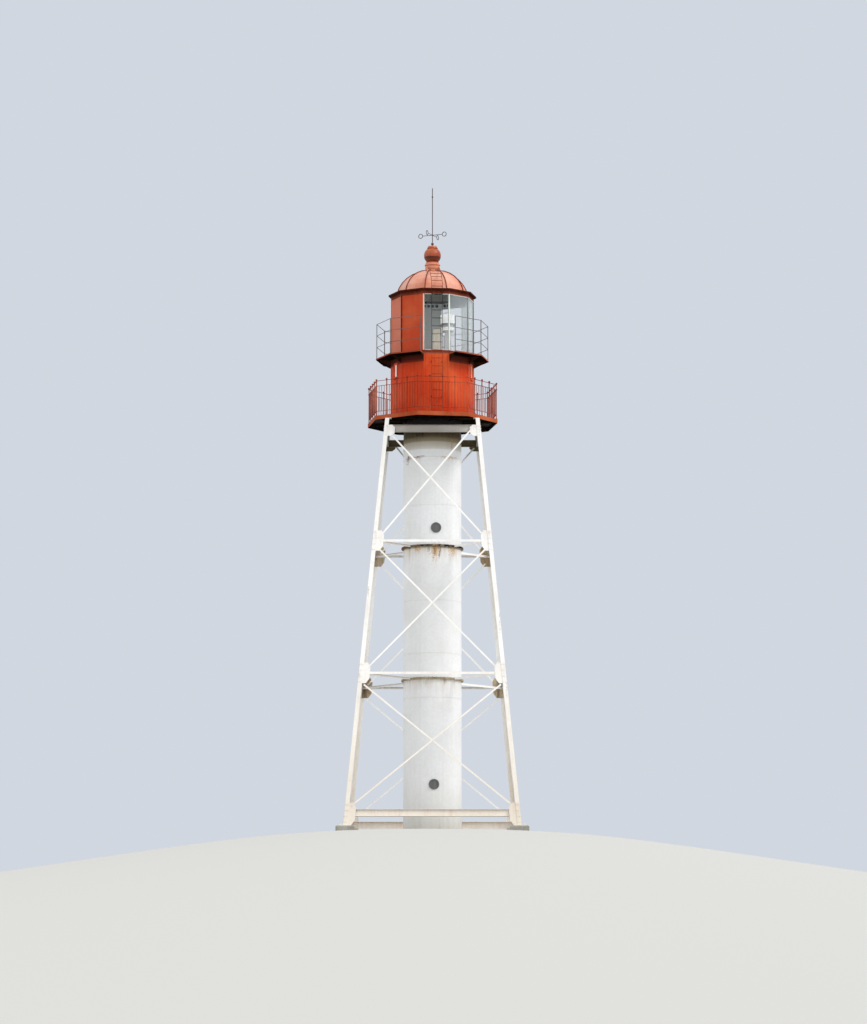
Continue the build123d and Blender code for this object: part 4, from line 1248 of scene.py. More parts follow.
        # Painted glow, where a paint has one
        if finish.painted_glow:
            graph.feed(shader.inputs["Emission Color"], colour)
            shader.inputs["Emission Strength"].default_value = finish.painted_glow
        smoothest = finish.roughness - weather.smoother
        roughest = finish.roughness + weather.rougher
        rough = graph.span(patches["Grain"], low=0.3, high=0.7, start=smoothest, end=roughest)
        added = graph.calc("MULTIPLY", stain, weather.stain_roughness)
        graph.feed(shader.inputs["Roughness"], graph.calc("ADD", rough, added))
        self._relief(graph, shader, relief, weather.bump, finish.relief)
        return material

    def _ledge_stains_and_shade(self, graph: ShaderGraph, finish: Paint, colour: Socket, place: Socket,
                      facing: Socket, streaks: Socket) -> Socket:
        """Lays the stains and painted shade under a paint's ledges over its colour.

        Args:
            graph: The material's graph.
            finish: The paint.
            colour: The colour so far.
            place: Place on the surface.
            facing: Way that the surface faces.
            streaks: Mask of the water streaks.

        Returns:
            The stained and shaded colour.
        """
        height = graph.node("ShaderNodeSeparateXYZ", {0: place}).outputs["Z"]
        stained_and_shaded = 1.0
        # One side can be kept clear: on the wall, the side with no deck over it and so no painted shadow
        if finish.spared is not None:
            bearing = math.radians(finish.spared)
            ahead = graph.vector("DOT_PRODUCT", facing, (math.sin(bearing), -math.cos(bearing), 0.0))
            stained_and_shaded = graph.span(ahead.outputs["Value"], low=0.97, high=0.93)
        for ledge in finish.ledges:
            feeds = {"Height": height, "Ledge": ledge.height, "Reach": ledge.reach, "Fall": ledge.fall}
            under = self.ledge.place(graph, feeds)["Mask"]
            broken = graph.scaled(streaks, ledge.ragged, 1 - ledge.ragged)
            share = graph.calc("MULTIPLY", graph.calc("MULTIPLY", under, broken), ledge.strength)
            share = graph.calc("MULTIPLY", share, stained_and_shaded)
            colour = graph.blend(share, colour, ledge.colour or finish.stain)
        return colour

    def _rust_marks(self, graph: ShaderGraph, finish: Paint, colour: Socket, place: Socket) -> Socket:
        """Lays a paint's single runs of rust over its colour.

        Args:
            graph: The material's graph.
            finish: The paint.
            colour: The colour so far.
            place: Place on the surface.

        Returns:
            The colour with the runs laid over it.
        """
        for mark in finish.marks:
            feeds = {"Place": place, "Across": mark.across, "Height": mark.height, "Width": mark.width,
                     "Length": mark.length}
            run = graph.calc("MULTIPLY", self.mark.place(graph, feeds)["Mask"], mark.strength)
            colour = graph.blend(run, colour, mark.colour)
        return colour

    def _relief(self, graph: ShaderGraph, shader: bpy.types.Node, height: Socket, strength: float,
                depth: float) -> None:
        """Gives a surface its unevenness.

        Args:
            graph: The material's graph.
            shader: Its surface shader.
            height: Height of the unevenness, from zero to one.
            strength: How much of it shows.
            depth: Its depth in metres.
        """
        bump = graph.node("ShaderNodeBump", {"Strength": strength, "Distance": depth, "Height": height})
        graph.feed(shader.inputs["Normal"], bump.outputs["Normal"])

    def _glass(self, finish: Glass) -> bpy.types.Material:
        """Makes the material of a glass with a film of salt.

        Args:
            finish: The glass.

        Returns:
            Its material.
        """
        material, graph, shader = self._new(finish.name)
        place = graph.node("ShaderNodeTexCoord").outputs["Object"]
        feeds = {"Place": place, "Spacing": finish.spacing, "Length": finish.length}
        film = self.streaks.place(graph, feeds)["Mask"]
        graph.feed(shader.inputs["Base Color"], graph.blend(film, finish.colour, finish.film))
        rough = graph.span(film, low=0.0, high=1.0, start=finish.clean, end=finish.salted)
        graph.feed(shader.inputs["Roughness"], rough)
        shine = graph.node("ShaderNodeFresnel", {"IOR": 1.45}).outputs[0]
        covered = min(1.0, finish.body + finish.film_body)
        body = graph.span(film, low=0.0, high=1.0, start=finish.body, end=covered)
        alpha = graph.calc("ADD", body, graph.calc("MULTIPLY", shine, finish.mirror), clamp=True)
        graph.feed(shader.inputs["Alpha"], alpha)
        return material

    def _concrete(self, finish: Concrete) -> bpy.types.Material:
        """Makes the material of a weathered concrete.

        Args:
            finish: The concrete.

        Returns:
            Its material.
        """
        material, graph, shader = self._new(finish.name)
        place = graph.node("ShaderNodeTexCoord").outputs["Object"]
        feeds = {"Place": place, "Size": finish.patch, "Share": finish.dampness}
        patches = self.blotches.place(graph, feeds)
        colour = graph.blend(patches["Mask"], finish.colour, finish.damp)
        pores = graph.speckle(place, scale=finish.pores, detail=2.0, low=0.62, high=0.70)
        colour = graph.blend(graph.calc("MULTIPLY", pores, finish.pitting), colour, finish.pore)
        feeds = {"Place": place, "Spacing": finish.spacing, "Length": finish.length}
        streaks = self.streaks.place(graph, feeds)["Mask"]
        colour = graph.blend(graph.calc("MULTIPLY", streaks, finish.washing), colour, finish.wash)
        graph.feed(shader.inputs["Base Color"], colour)
        rough = graph.span(patches["Grain"], low=0.3, high=0.7, start=finish.worn, end=finish.raw)
        graph.feed(shader.inputs["Roughness"], rough)
        height = graph.calc("SUBTRACT", patches["Grain"], pores)
        self._relief(graph, shader, height, finish.bump, finish.relief)
        return material


class PackedPart:
    """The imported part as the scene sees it: boxes, reaches and merged copies of its nodes."""

    def low(self, node: str) -> float:
        """Gives the lowest height of a node."""
        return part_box(node)[0][2]

    def high(self, node: str) -> float:
        """Gives the highest height of a node."""
        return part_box(node)[1][2]

    def reach(self, node: str) -> float:
        """Gives a node's largest distance from the axis."""
        return max(math.hypot(v.co.x, v.co.y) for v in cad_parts[node].data.vertices)

    def side_reach(self, node: str) -> float:
        """Gives the distance from the axis to a flat side of a ten-sided node."""
        return self.reach(node) * math.cos(HEAD_HALF)

    def dress(self, node: str, material: bpy.types.Material) -> None:
        """Puts one material on a node.

        Args:
            node: Name of the node.
            material: Its material.
        """
        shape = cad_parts[node]
        shape.data.materials.clear()
        shape.data.materials.append(material)

    def smooth_copy(self, node: str, name: str, materials: Sequence[bpy.types.Material],
                    choose: Callable[[Vector], int] | None = None, crease: float = 20.0) -> bpy.types.Object:
        """Makes a merged, smoothly shaded copy that stands for a node.

        Args:
            node: Name of the node.
            name: Name of the copy.
            materials: Its materials.
            choose: Gives the number of the material for a face's middle, where it has more than one.
            crease: Angle in degrees over which an edge stays sharp.

        Returns:
            The copy.
        """
        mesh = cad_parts[node].data.copy()
        work = bmesh.new()
        work.from_mesh(mesh)
        bmesh.ops.remove_doubles(work, verts=work.verts, dist=NODE_WELD)
        soften(work, crease)
        for face in work.faces:
            face.material_index = choose(face.calc_center_median()) if choose else 0
        mesh.materials.clear()
        for material in materials:
            mesh.materials.append(material)
        work.to_mesh(mesh)
        work.free()
        copy = new_object(name, mesh)
        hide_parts(node)
        return copy


class Workshop:
    """What every sub-assembly needs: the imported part, the finishes and the way to enter a piece."""

    def __init__(self) -> None:
        """Sets up the shop for the whole scene."""
        self.part = PackedPart()
        self.finishes = FinishShop()
        self.count = 0

    def enter(self, piece: bpy.types.Object, slot: Slot) -> None:
        """Enters a finished piece: it rides on the tower.

        Args:
            piece: The piece.
            slot: Its material slot: not used.
        """
        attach(piece, "root")
        self.count += 1
        log.info("%s: %d faces", piece.name, len(piece.data.polygons))


class Draft:
    """A mesh under construction, in metres, on the front side or about the axis."""

    def __init__(self) -> None:
        """Starts an empty mesh."""
        self.work = bmesh.new()

    def box(self, centre: Point, size: Point, turn: Matrix | None = None) -> None:
        """Adds a box.

        Args:
            centre: Its middle.
            size: Its three sizes.
            turn: A rotation about its middle.
        """
        place = Matrix.Translation(centre) @ (turn.to_4x4() if turn else Matrix.Identity(4))
        bmesh.ops.create_cube(self.work, size=1.0, matrix=place @ Matrix.Diagonal((*size, 1.0)))

    def lathe(self, profile: Sequence[tuple[float, float]], sides: int) -> None:
        """Adds a turned form about the axis, smooth round, closed at radius zero.

        Args:
            profile: Radius and height pairs from the bottom up.
            sides: Number of flats round.
        """
        rings = []
        for radius, height in profile:
            rings.append([self.work.verts.new(point) for point in level_ring(radius, height, sides)])
        for low, high in zip(rings, rings[1:]):
            for index in range(sides):
                follow = (index + 1) % sides
                places = ((low, index), (low, follow), (high, follow), (high, index))
                corners = [ring[place % len(ring)] for ring, place in places]
                self.work.faces.new(list(dict.fromkeys(corners)))

    def disc(self, segments: int, radius: float, depth: float, place: Matrix) -> None:
        """Adds a closed round plate along the local Z.

        Args:
            segments: Number of flats round.
            radius: Its radius.
            depth: Its thickness.
            place: Where it stands.
        """
        bmesh.ops.create_cone(self.work, cap_ends=True, segments=segments, radius1=radius, radius2=radius,
                              depth=depth, matrix=place)

    def mesh(self, name: str, crease: float = 35.0) -> bpy.types.Mesh:
        """Gives the finished mesh, with soft shading under the crease angle.

        Args:
            name: Name of the mesh.
            crease: Angle in degrees over which an edge stays sharp.

        Returns:
            The mesh.
        """
        bmesh.ops.remove_doubles(self.work, verts=self.work.verts, dist=DRAFT_WELD)
        bmesh.ops.recalc_face_normals(self.work, faces=self.work.faces)
        soften(self.work, crease)
        mesh = bpy.data.meshes.new(name)
        self.work.to_mesh(mesh)
        self.work.free()
        return mesh

    def piece(self, name: str, material: bpy.types.Material) -> bpy.types.Object:
        """Gives the finished mesh as an object.

        Args:
            name: Name of the piece.
            material: Its material.

        Returns:
            The object, linked to the scene.
        """
        mesh = self.mesh(name)
        mesh.materials.append(material)
        return new_object(name, mesh)


class GrowthTree:
    """A geometry node tree with named inputs, run once to make a plain mesh."""

    kinds = {int: "NodeSocketInt", float: "NodeSocketFloat", tuple: "NodeSocketVector"}

    def __init__(self, name: str, inputs: dict[str, object]) -> None:
        """Starts the tree.

        Args:
            name: Name of the tree.
            inputs: First value of each input, by name: a count, a number or a vector.
        """
        self.tree = bpy.data.node_groups.new(name, "GeometryNodeTree")
        self.tree.interface.new_socket("Geometry", in_out="INPUT", socket_type="NodeSocketGeometry")
        for label, value in inputs.items():
            kind = self.kinds[type(value)]
            socket = self.tree.interface.new_socket(label, in_out="INPUT", socket_type=kind)
            socket.default_value = value
        self.tree.interface.new_socket("Material", in_out="INPUT", socket_type="NodeSocketMaterial")
        self.tree.interface.new_socket("Geometry", in_out="OUTPUT", socket_type="NodeSocketGeometry")
        self.graph = Graph(self.tree)
        self.given = self.graph.node("NodeGroupInput").outputs
        self.result = self.graph.node("NodeGroupOutput").inputs

    def end(self, feeds: dict[str, object], smooth: bool | None = True) -> "GrowthTree":
        """Closes the tree: a shape is set on points, made mesh and given its material.

        Args:
            feeds: The points, the shape, and its turn or size.
            smooth: Whether the faces shade softly, or none to leave the shape's own shading.

        Returns:
            The tree itself.
        """
        graph = self.graph
        instances = graph.node("GeometryNodeInstanceOnPoints", feeds).outputs[0]
        shape = graph.node("GeometryNodeRealizeInstances", {"Geometry": instances}).outputs[0]
        if smooth is not None:
            feeds = {"Geometry": shape, "Shade Smooth": smooth}
            shape = graph.node("GeometryNodeSetShadeSmooth", feeds).outputs[0]
        feeds = {"Geometry": shape, "Material": self.given["Material"]}
        graph.feed(self.result["Geometry"], graph.node("GeometryNodeSetMaterial", feeds).outputs[0])
        return self

    def grow(self, name: str, material: bpy.types.Material, values: dict[str, object],
             seed: bpy.types.Mesh | None = None) -> bpy.types.Object:
        """Runs the tree once and keeps the outcome as a plain mesh.

        Args:
            name: Name of the piece.
            material: Its material.
            values: Input values by name.
            seed: Mesh that the tree starts from, if it needs one.

        Returns:
            The piece, with no modifier left on it.
        """
        piece = new_object(name, seed or bpy.data.meshes.new(name))
        modifier = piece.modifiers.new("growth", "NODES")
        modifier.node_group = self.tree
        sockets = {item.name: item.identifier for item in self.tree.interface.items_tree
                   if item.item_type == "SOCKET" and item.in_out == "INPUT"}
        for label, value in {**values, "Material": material}.items():
            modifier[sockets[label]] = value
        graph = bpy.context.evaluated_depsgraph_get()
        mesh = bpy.data.meshes.new_from_object(piece.evaluated_get(graph), depsgraph=graph)
        piece.modifiers.remove(modifier)
        piece.data = mesh
        mesh.name = name
        return piece


class GrowthTrees:
    """The geometry trees that the sub-assemblies share."""

    def __init__(self) -> None:
        """Builds every tree once."""
        self.beads = self._beads()
        self.hoops = self._hoops()
        self.bolt_ring = self._bolt_ring()
        self.heads = self._heads()
        self.round_tower = self._round_tower()

    def _beads(self) -> GrowthTree:
        """Makes the tree of balls along the sides of a level polygon.

        Returns:
            The tree.
        """
        inputs = {"Sides": 8, "Radius": 1.0, "Turn": 0.0, "Height": 0.0, "Splits": 0, "Ball": 0.03,
                  "Squash": 1.0}
        tree = GrowthTree("balls_on_rail", inputs)
        graph, given = tree.graph, tree.given
        feeds = {"Vertices": given["Sides"], "Radius": given["Radius"]}
        ring = graph.node("GeometryNodeMeshCircle", feeds)
        feeds = {"Geometry": ring.outputs[0], "Translation": graph.upright(given["Height"]),
                 "Rotation": graph.upright(given["Turn"])}
        placed = graph.node("GeometryNodeTransform", feeds)
        feeds = {"Mesh": placed.outputs[0], "Level": given["Splits"]}
        split = graph.node("GeometryNodeSubdivideMesh", feeds)
        feeds = {"Segments": 16, "Rings": 10, "Radius": given["Ball"]}
        ball = graph.node("GeometryNodeMeshUVSphere", feeds)
        size = graph.node("ShaderNodeCombineXYZ", {"X": 1.0, "Y": 1.0, "Z": given["Squash"]}).outputs[0]
        return tree.end({"Points": split.outputs[0], "Instance": ball.outputs[0], "Scale": size})

    def _hoops(self) -> GrowthTree:
        """Makes the tree of level round hoops stacked at an even pitch.

        Returns:
            The tree.
        """
        inputs = {"Radius": 1.0, "Bead": 0.01, "First": (0.0, 0.0, 0.0), "Pitch": 1.0, "Count": 1,
                  "Flats": 96}
        tree = GrowthTree("stacked_hoops", inputs)
        graph, given = tree.graph, tree.given
        feeds = {"Resolution": given["Flats"], "Radius": given["Radius"]}
        path = graph.node("GeometryNodeCurvePrimitiveCircle", feeds)
        feeds = {"Resolution": 8, "Radius": given["Bead"]}
        section = graph.node("GeometryNodeCurvePrimitiveCircle", feeds)
        feeds = {"Curve": path.outputs[0], "Profile Curve": section.outputs[0]}
        hoop = graph.node("GeometryNodeCurveToMesh", feeds)
        feeds = {"Count": given["Count"], "Start Location": given["First"],
                 "Offset": graph.upright(given["Pitch"])}
        places = graph.node("GeometryNodeMeshLine", feeds)
        return tree.end({"Points": places.outputs[0], "Instance": hoop.outputs[0]})

    def _bolt_ring(self) -> GrowthTree:
        """Makes the tree of upright six-sided heads round a flange.

        Returns:
            The tree.
        """
        inputs = {"Count": 32, "Radius": 1.0, "Height": 0.0, "Head": 0.016, "Depth": 0.014}
        tree = GrowthTree("flange_bolts", inputs)
        graph, given = tree.graph, tree.given
        feeds = {"Vertices": given["Count"], "Radius": given["Radius"]}
        ring = graph.node("GeometryNodeMeshCircle", feeds)
        feeds = {"Geometry": ring.outputs[0], "Translation": graph.upright(given["Height"])}
        placed = graph.node("GeometryNodeTransform", feeds)
        feeds = {"Vertices": 6, "Radius": given["Head"], "Depth": given["Depth"]}
        head = graph.node("GeometryNodeMeshCylinder", feeds)
        feeds = {"Max": (0.0, 0.0, math.tau), "Seed": 7}
        spin = graph.node("FunctionNodeRandomValue", feeds, data_type="FLOAT_VECTOR")
        feeds = {"Points": placed.outputs[0], "Instance": head.outputs["Mesh"], "Rotation": spin.outputs[0]}
        return tree.end(feeds, smooth=False)

    def _heads(self) -> GrowthTree:
        """Makes the tree of six-sided heads on given points, each turned the point's own way.

        Returns:
            The tree.
        """
        tree = GrowthTree("bolt_heads", {"Head": 0.016, "Depth": 0.012})
        graph, given = tree.graph, tree.given
        feeds = {"Vertices": 6, "Radius": given["Head"], "Depth": given["Depth"]}
        head = graph.node("GeometryNodeMeshCylinder", feeds)
        facing = graph.node("GeometryNodeInputNamedAttribute", {"Name": "facing"}, data_type="FLOAT_VECTOR")
        turn = graph.node("FunctionNodeAlignRotationToVector", {"Vector": facing.outputs[0]}, axis="Z")
        feeds = {"Points": given["Geometry"], "Instance": head.outputs["Mesh"], "Rotation": turn.outputs[0]}
        return tree.end(feeds, smooth=False)

    def _round_tower(self) -> GrowthTree:
        """Makes the tree that repeats a front-side detail round the axis.

        Returns:
            The tree.
        """
        tree = GrowthTree("round_the_tower", {"Count": 10, "First": 0.0, "Step": 0.6})
        graph, given = tree.graph, tree.given
        feeds = {"Count": given["Count"], "Offset": (0.0, 0.0, 0.0)}
        places = graph.node("GeometryNodeMeshLine", feeds)
        index = graph.node("GeometryNodeInputIndex").outputs[0]
        spin = graph.upright(graph.scaled(index, given["Step"], given["First"]))
        feeds = {"Points": places.outputs[0], "Instance": given["Geometry"], "Rotation": spin}
        return tree.end(feeds, smooth=None)


class Assembly:
    """A sub-assembly: it knows the workshop and the trees and puts its own pieces in."""

    def __init__(self, shop: Workshop, trees: GrowthTrees) -> None:
        """Keeps what every sub-assembly needs.

        Args:
            shop: The workshop.
            trees: The shared geometry trees.
        """
        self.shop = shop
        self.part = shop.part
        self.trees = trees

    def paint(self, finish: Paint | Glass, *nodes: str) -> None:
        """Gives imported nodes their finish.

        Args:
            finish: The paint or the glass.
            *nodes: Names of the nodes.
        """
        for node in nodes:
            self.part.dress(node, self.shop.finishes.material(finish))

    def grow(self, tree: GrowthTree, name: str, finish: Paint, values: dict[str, object],
             seed: bpy.types.Mesh | None = None) -> None:
        """Grows a painted piece from a tree and enters it.

        Args:
            tree: The geometry tree.
            name: Name of the piece.
            finish: Its paint.
            values: The tree's inputs.
            seed: Mesh that the tree starts from.
        """
        piece = tree.grow(name, self.shop.finishes.material(finish), values, seed)
        self.shop.enter(piece, finish.slot)

    def round_head(self, draft: Draft, name: str, finish: Paint, sides: Sequence[int] = range(HEAD_SIDES),
                   on_corners: bool = False) -> None:
        """Repeats a front-side draft on the sides or corners of the ten-sided head.

        Args:
            draft: The detail, drawn on the front.
            name: Name of the piece.
            finish: Its paint.
            sides: The first and following sides, in one run.
            on_corners: Whether it sits on the corners and not on the sides.
        """
        first = HEAD_TURN + HEAD_STEP * (sides[0] + (0.0 if on_corners else 0.5))
        values = {"Count": len(sides), "First": math.radians(first), "Step": math.radians(HEAD_STEP)}
        self.grow(self.trees.round_tower, name, finish, values, draft.mesh(name))

    def copy(self, node: str, *finishes: Paint | Glass | Concrete, suffix: str = "skin",
             choose: Callable[[Vector], int] | None = None, crease: float = 20.0) -> None:
        """Puts a softly shaded, finished copy in a node's place.

        Args:
            node: Name of the node.
            *finishes: Its finishes, all for one slot.
            suffix: What its name adds to the node's.
            choose: Gives the number of the finish for a face's middle, where there are several.
            crease: Angle in degrees over which an edge stays sharp.
        """
        materials = [self.shop.finishes.material(finish) for finish in finishes]
        piece = self.part.smooth_copy(node, f"{node}_{suffix}", materials, choose, crease)
        self.shop.enter(piece, finishes[0].slot)


@dataclass
class TubeSizes:
    """Sizes of what the scene adds to the tube, in metres."""

    seams: tuple[float, ...] = (5.16, 6.80, 8.76, 12.30)
    collar_height: float = 14.07
    weld_bead: float = 0.007
    collar_bead: float = 0.022
    flange_bolts: int = 48
    bolt_head: float = 0.017
    bolt_depth: float = 0.014
    flange: float = 0.030
    joint_drop: float = 0.0175
    joint_zone: float = 0.3


class Tube(Assembly):
    """The white plate tube: shells, bolting rings, weld seams and portholes."""

    sizes = TubeSizes()

    def build(self) -> None:
        """Dresses the tube from the plinth to the gallery."""
        for node in ("shell_lower", "shell_middle", "shell_upper"):
            self.copy(node, TOWER_WHITE)
        joint = self.part.low("shell_upper")
        self.copy("shell_flanges", FLANGE_RUSTY, FLANGE_BLACK,
                  choose=lambda middle: int(abs(middle.z - joint) < self.sizes.joint_zone))
        self._seams()
        self._flange_bolts()
        self._portholes()

    def _seams(self) -> None:
        """Adds the ring welds and the thin collar under the gallery."""
        radius = self.part.reach("shell_middle")
        rings = {f"ring_weld_{number}": (self.sizes.weld_bead, height)
                 for number, height in enumerate(self.sizes.seams, 1)}
        rings["tube_collar"] = (self.sizes.collar_bead, self.sizes.collar_height)
        for name, (bead, height) in rings.items():
            values = {"Radius": radius, "Bead": bead, "First": (0.0, 0.0, height)}
            self.grow(self.trees.hoops, name, TOWER_WHITE, values)

    def _flange_bolts(self) -> None:
        """Adds the bolts over and under each pair of flange rings."""
        sizes = self.sizes
        radius = (self.part.reach("shell_middle") + self.part.reach("shell_flanges")) / 2
        for number, shell in enumerate(("shell_middle", "shell_upper"), 1):
            joint = self.part.low(shell) - sizes.joint_drop
            for facing in Facing:
                height = joint + facing.value * (sizes.flange + sizes.bolt_depth / 2)
                values = {"Count": sizes.flange_bolts, "Radius": radius, "Height": height,
                          "Head": sizes.bolt_head, "Depth": sizes.bolt_depth}
                name = f"flange_bolts_{number}_{facing.name.lower()}"
                self.grow(self.trees.bolt_ring, name, FLANGE_RUSTY, values)

    def _portholes(self) -> None:
        """Paints the window frames and gives portholes and watch windows their glass."""
        head = self.part.low("watch_walls")
        self.copy("window_frames", PORTHOLE_GREY, WINDOW_RED, choose=lambda middle: int(middle.z > head))
        # Porthole panes are painted shade, watch window panes a painted reflection of the sky
        self.copy("window_panes", PAINTED_SHADE_GLASS, PAINTED_SKY_GLASS, choose=lambda middle: int(middle.z > head))


@dataclass
class FrameSizes:
    """Sizes of what the scene adds to the braced frame, in metres."""

    joints: tuple[tuple[float, float], ...] = ((0.42, 1.05), (5.55, 6.19), (10.46, 11.10), (14.78, 15.10))
    insets: tuple[float, ...] = (0.045, 0.110)
    rear: float = 1.0
    plate_width: float = 0.50
    plate_edge: float = 0.10
    rows: int = 4
    head: float = 0.018
    depth: float = 0.014
    anchor_head: float = 0.026
    anchor_height: float = 0.060
    anchor_spread: float = 0.165
    pad_half: float = 0.340


class BracedFrame(Assembly):
    """The four battered legs with their beams, struts, braces and bolts."""

    sizes = FrameSizes()

    def build(self) -> None:
        """Dresses the frame."""
        self.paint(FRAME_WHITE, "leg_front_left", "leg_front_right", "leg_rear_left", "leg_rear_right",
                   "lattice_front", "lattice_right", "lattice_left", "leg_plates", "base_beams",
                   "radial_ties")
        self.copy("lattice_rear", FRAME_REAR, PLATE_RUSTY, TOP_BEAM_OLIVE, choose=self._rear_paint)
        self.copy("top_beams", TOP_BEAM_SHADED, TOP_BEAM_OLIVE,
                  choose=lambda middle: int(middle.y > self.sizes.rear))
        self._leg_bolts()
        self._anchor_bolts()

    def _rear_paint(self, middle: Vector) -> int:
        """Chooses the paint of a face of the rear lattice: its node plates have rusted.

        Args:
            middle: Middle of the face.

        Returns:
            Number of the paint: plain, rusty or the olive of the top.
        """
        aside = LEG_HALF - LEG_BATTER * middle.z - abs(middle.x)
        if aside > self.sizes.plate_width:
            return 0
        for number, (low, high) in enumerate(self.sizes.joints[1:], 1):
            if low - self.sizes.plate_edge < middle.z < high + self.sizes.plate_edge:
                return 1 + int(number == len(self.sizes.joints) - 1)
        return 0

    def _leg_bolts(self) -> None:
        """Adds the bolts that hold the node plates to the legs, on all four sides."""
        sizes = self.sizes
        lean = Vector((0.0, -1.0, LEG_BATTER)).normalized()
        places = []
        for low, high in sizes.joints:
            for row in range(sizes.rows):
                height = low + (high - low) * row / (sizes.rows - 1)
                half = LEG_HALF - LEG_BATTER * height
                for side in (-1, 1):
                    for inset in sizes.insets:
                        foot = Vector((side * (half - inset), -half, height))
                        places.append(foot + lean * sizes.depth / 2)
        turns = [Matrix.Rotation(math.radians(angle), 3, "Z") for angle in (0, 90, 180, 270)]
        heads = [(turn @ place, turn @ lean) for turn in turns for place in places]
        self._bolt_heads("leg_bolts", heads, sizes.head, sizes.depth)

    def _anchor_bolts(self) -> None:
        """Adds four anchor bolts on each foot plate."""
        sizes = self.sizes
        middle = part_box("footings")[1][0] - sizes.pad_half
        level = self.part.low("leg_front_left") + sizes.anchor_height / 2
        spread = sizes.anchor_spread
        offsets = [(x, y) for x in (-spread, spread) for y in (-spread, spread)]
        corners = [(x * middle, y * middle) for x in (-1, 1) for y in (-1, 1)]
        up = Vector((0.0, 0.0, 1.0))
        heads = [(Vector((x + dx, y + dy, level)), up) for x, y in corners for dx, dy in offsets]
        self._bolt_heads("anchor_bolts", heads, sizes.anchor_head, sizes.anchor_height)

    def _bolt_heads(self, name: str, heads: Sequence[tuple[Vector, Vector]], radius: float,
                    depth: float) -> None:
        """Grows bolt heads on given points.

        Args:
            name: Name of the piece.
            heads: Middle of each head and the way that it points.
            radius: Radius of a head.
            depth: Its depth.
        """
        mesh = bpy.data.meshes.new(f"{name}_places")
        mesh.from_pydata([place for place, _ in heads], [], [])
        facing = mesh.attributes.new("facing", "FLOAT_VECTOR", "POINT")
        for row, (_, way) in zip(facing.data, heads):
            row.vector = way
        self.grow(self.trees.heads, name, FRAME_WHITE, {"Head": radius, "Depth": depth}, mesh)


class Footing(Assembly):
    """The round plinth and the four concrete pads."""

    def build(self) -> None:
        """Dresses the ground works."""
        for node in ("base_plinth", "footings"):
            self.copy(node, CAST_CONCRETE, suffix="cast")


@dataclass
class GallerySizes:
    """Sizes of what the scene adds to the lower gallery, in metres."""

    finial_ball: float = 0.036
    knob_ball: float = 0.030
    foot_ball: float = 0.034
    finial_squash: float = 1.15
    knob_squash: float = 0.8
    foot_squash: float = 0.5
    finial_drop: float = 0.028
    knob_rise: float = 1.110
    foot_rise: float = 0.012
    post_half: float = 0.014
    splits: int = 2


class LowerGallery(Assembly):
    """The octagonal gallery: deck, fascia, girders and the railing with its balls."""

    sizes = GallerySizes()

    def build(self) -> None:
        """Dresses the lower gallery."""
        self.paint(DECK_RED, "gallery_deck", "gallery_fascia")
        self.paint(BEAM_DARK, "gallery_joists")
        self.paint(RAIL_RED, "gallery_railing")
        sizes = self.sizes
        deck = self.part.high("gallery_deck")
        top = self.part.high("gallery_railing")
        # The railing's reach is over a post's outer corner, half a post's diagonal past its middle
        radius = self.part.reach("gallery_railing") - sizes.post_half * math.sqrt(2)
        rows = {"rail_finials": (top - sizes.finial_drop, sizes.finial_ball, sizes.finial_squash),
                "rail_knobs": (deck + sizes.knob_rise, sizes.knob_ball, sizes.knob_squash),
                "post_feet": (deck + sizes.foot_rise, sizes.foot_ball, sizes.foot_squash)}
        for name, (height, ball, squash) in rows.items():
            values = {"Sides": DECK_SIDES, "Radius": radius, "Turn": math.radians(DECK_TURN - 90),
                      "Height": height, "Splits": sizes.splits, "Ball": ball, "Squash": squash}
            self.grow(self.trees.beads, name, RAIL_RED, values)


@dataclass
class WatchSizes:
    """Sizes of what the scene adds to the watch room, in metres, and the sides that have a window."""

    strip_width: float = 0.110
    strip_depth: float = 0.010
    strip_sink: float = 0.006
    strip_short: float = 0.03
    window_width: float = 0.270
    window_height: float = 0.530
    window_middle: float = 1.810
    right_window: int = 2
    left_window: int = 8
    trim: float = 0.030
    trim_depth: float = 0.014
    trim_proud: float = 0.006
    sill_height: float = 0.016
    sill_depth: float = 0.050
    sill_proud: float = 0.018


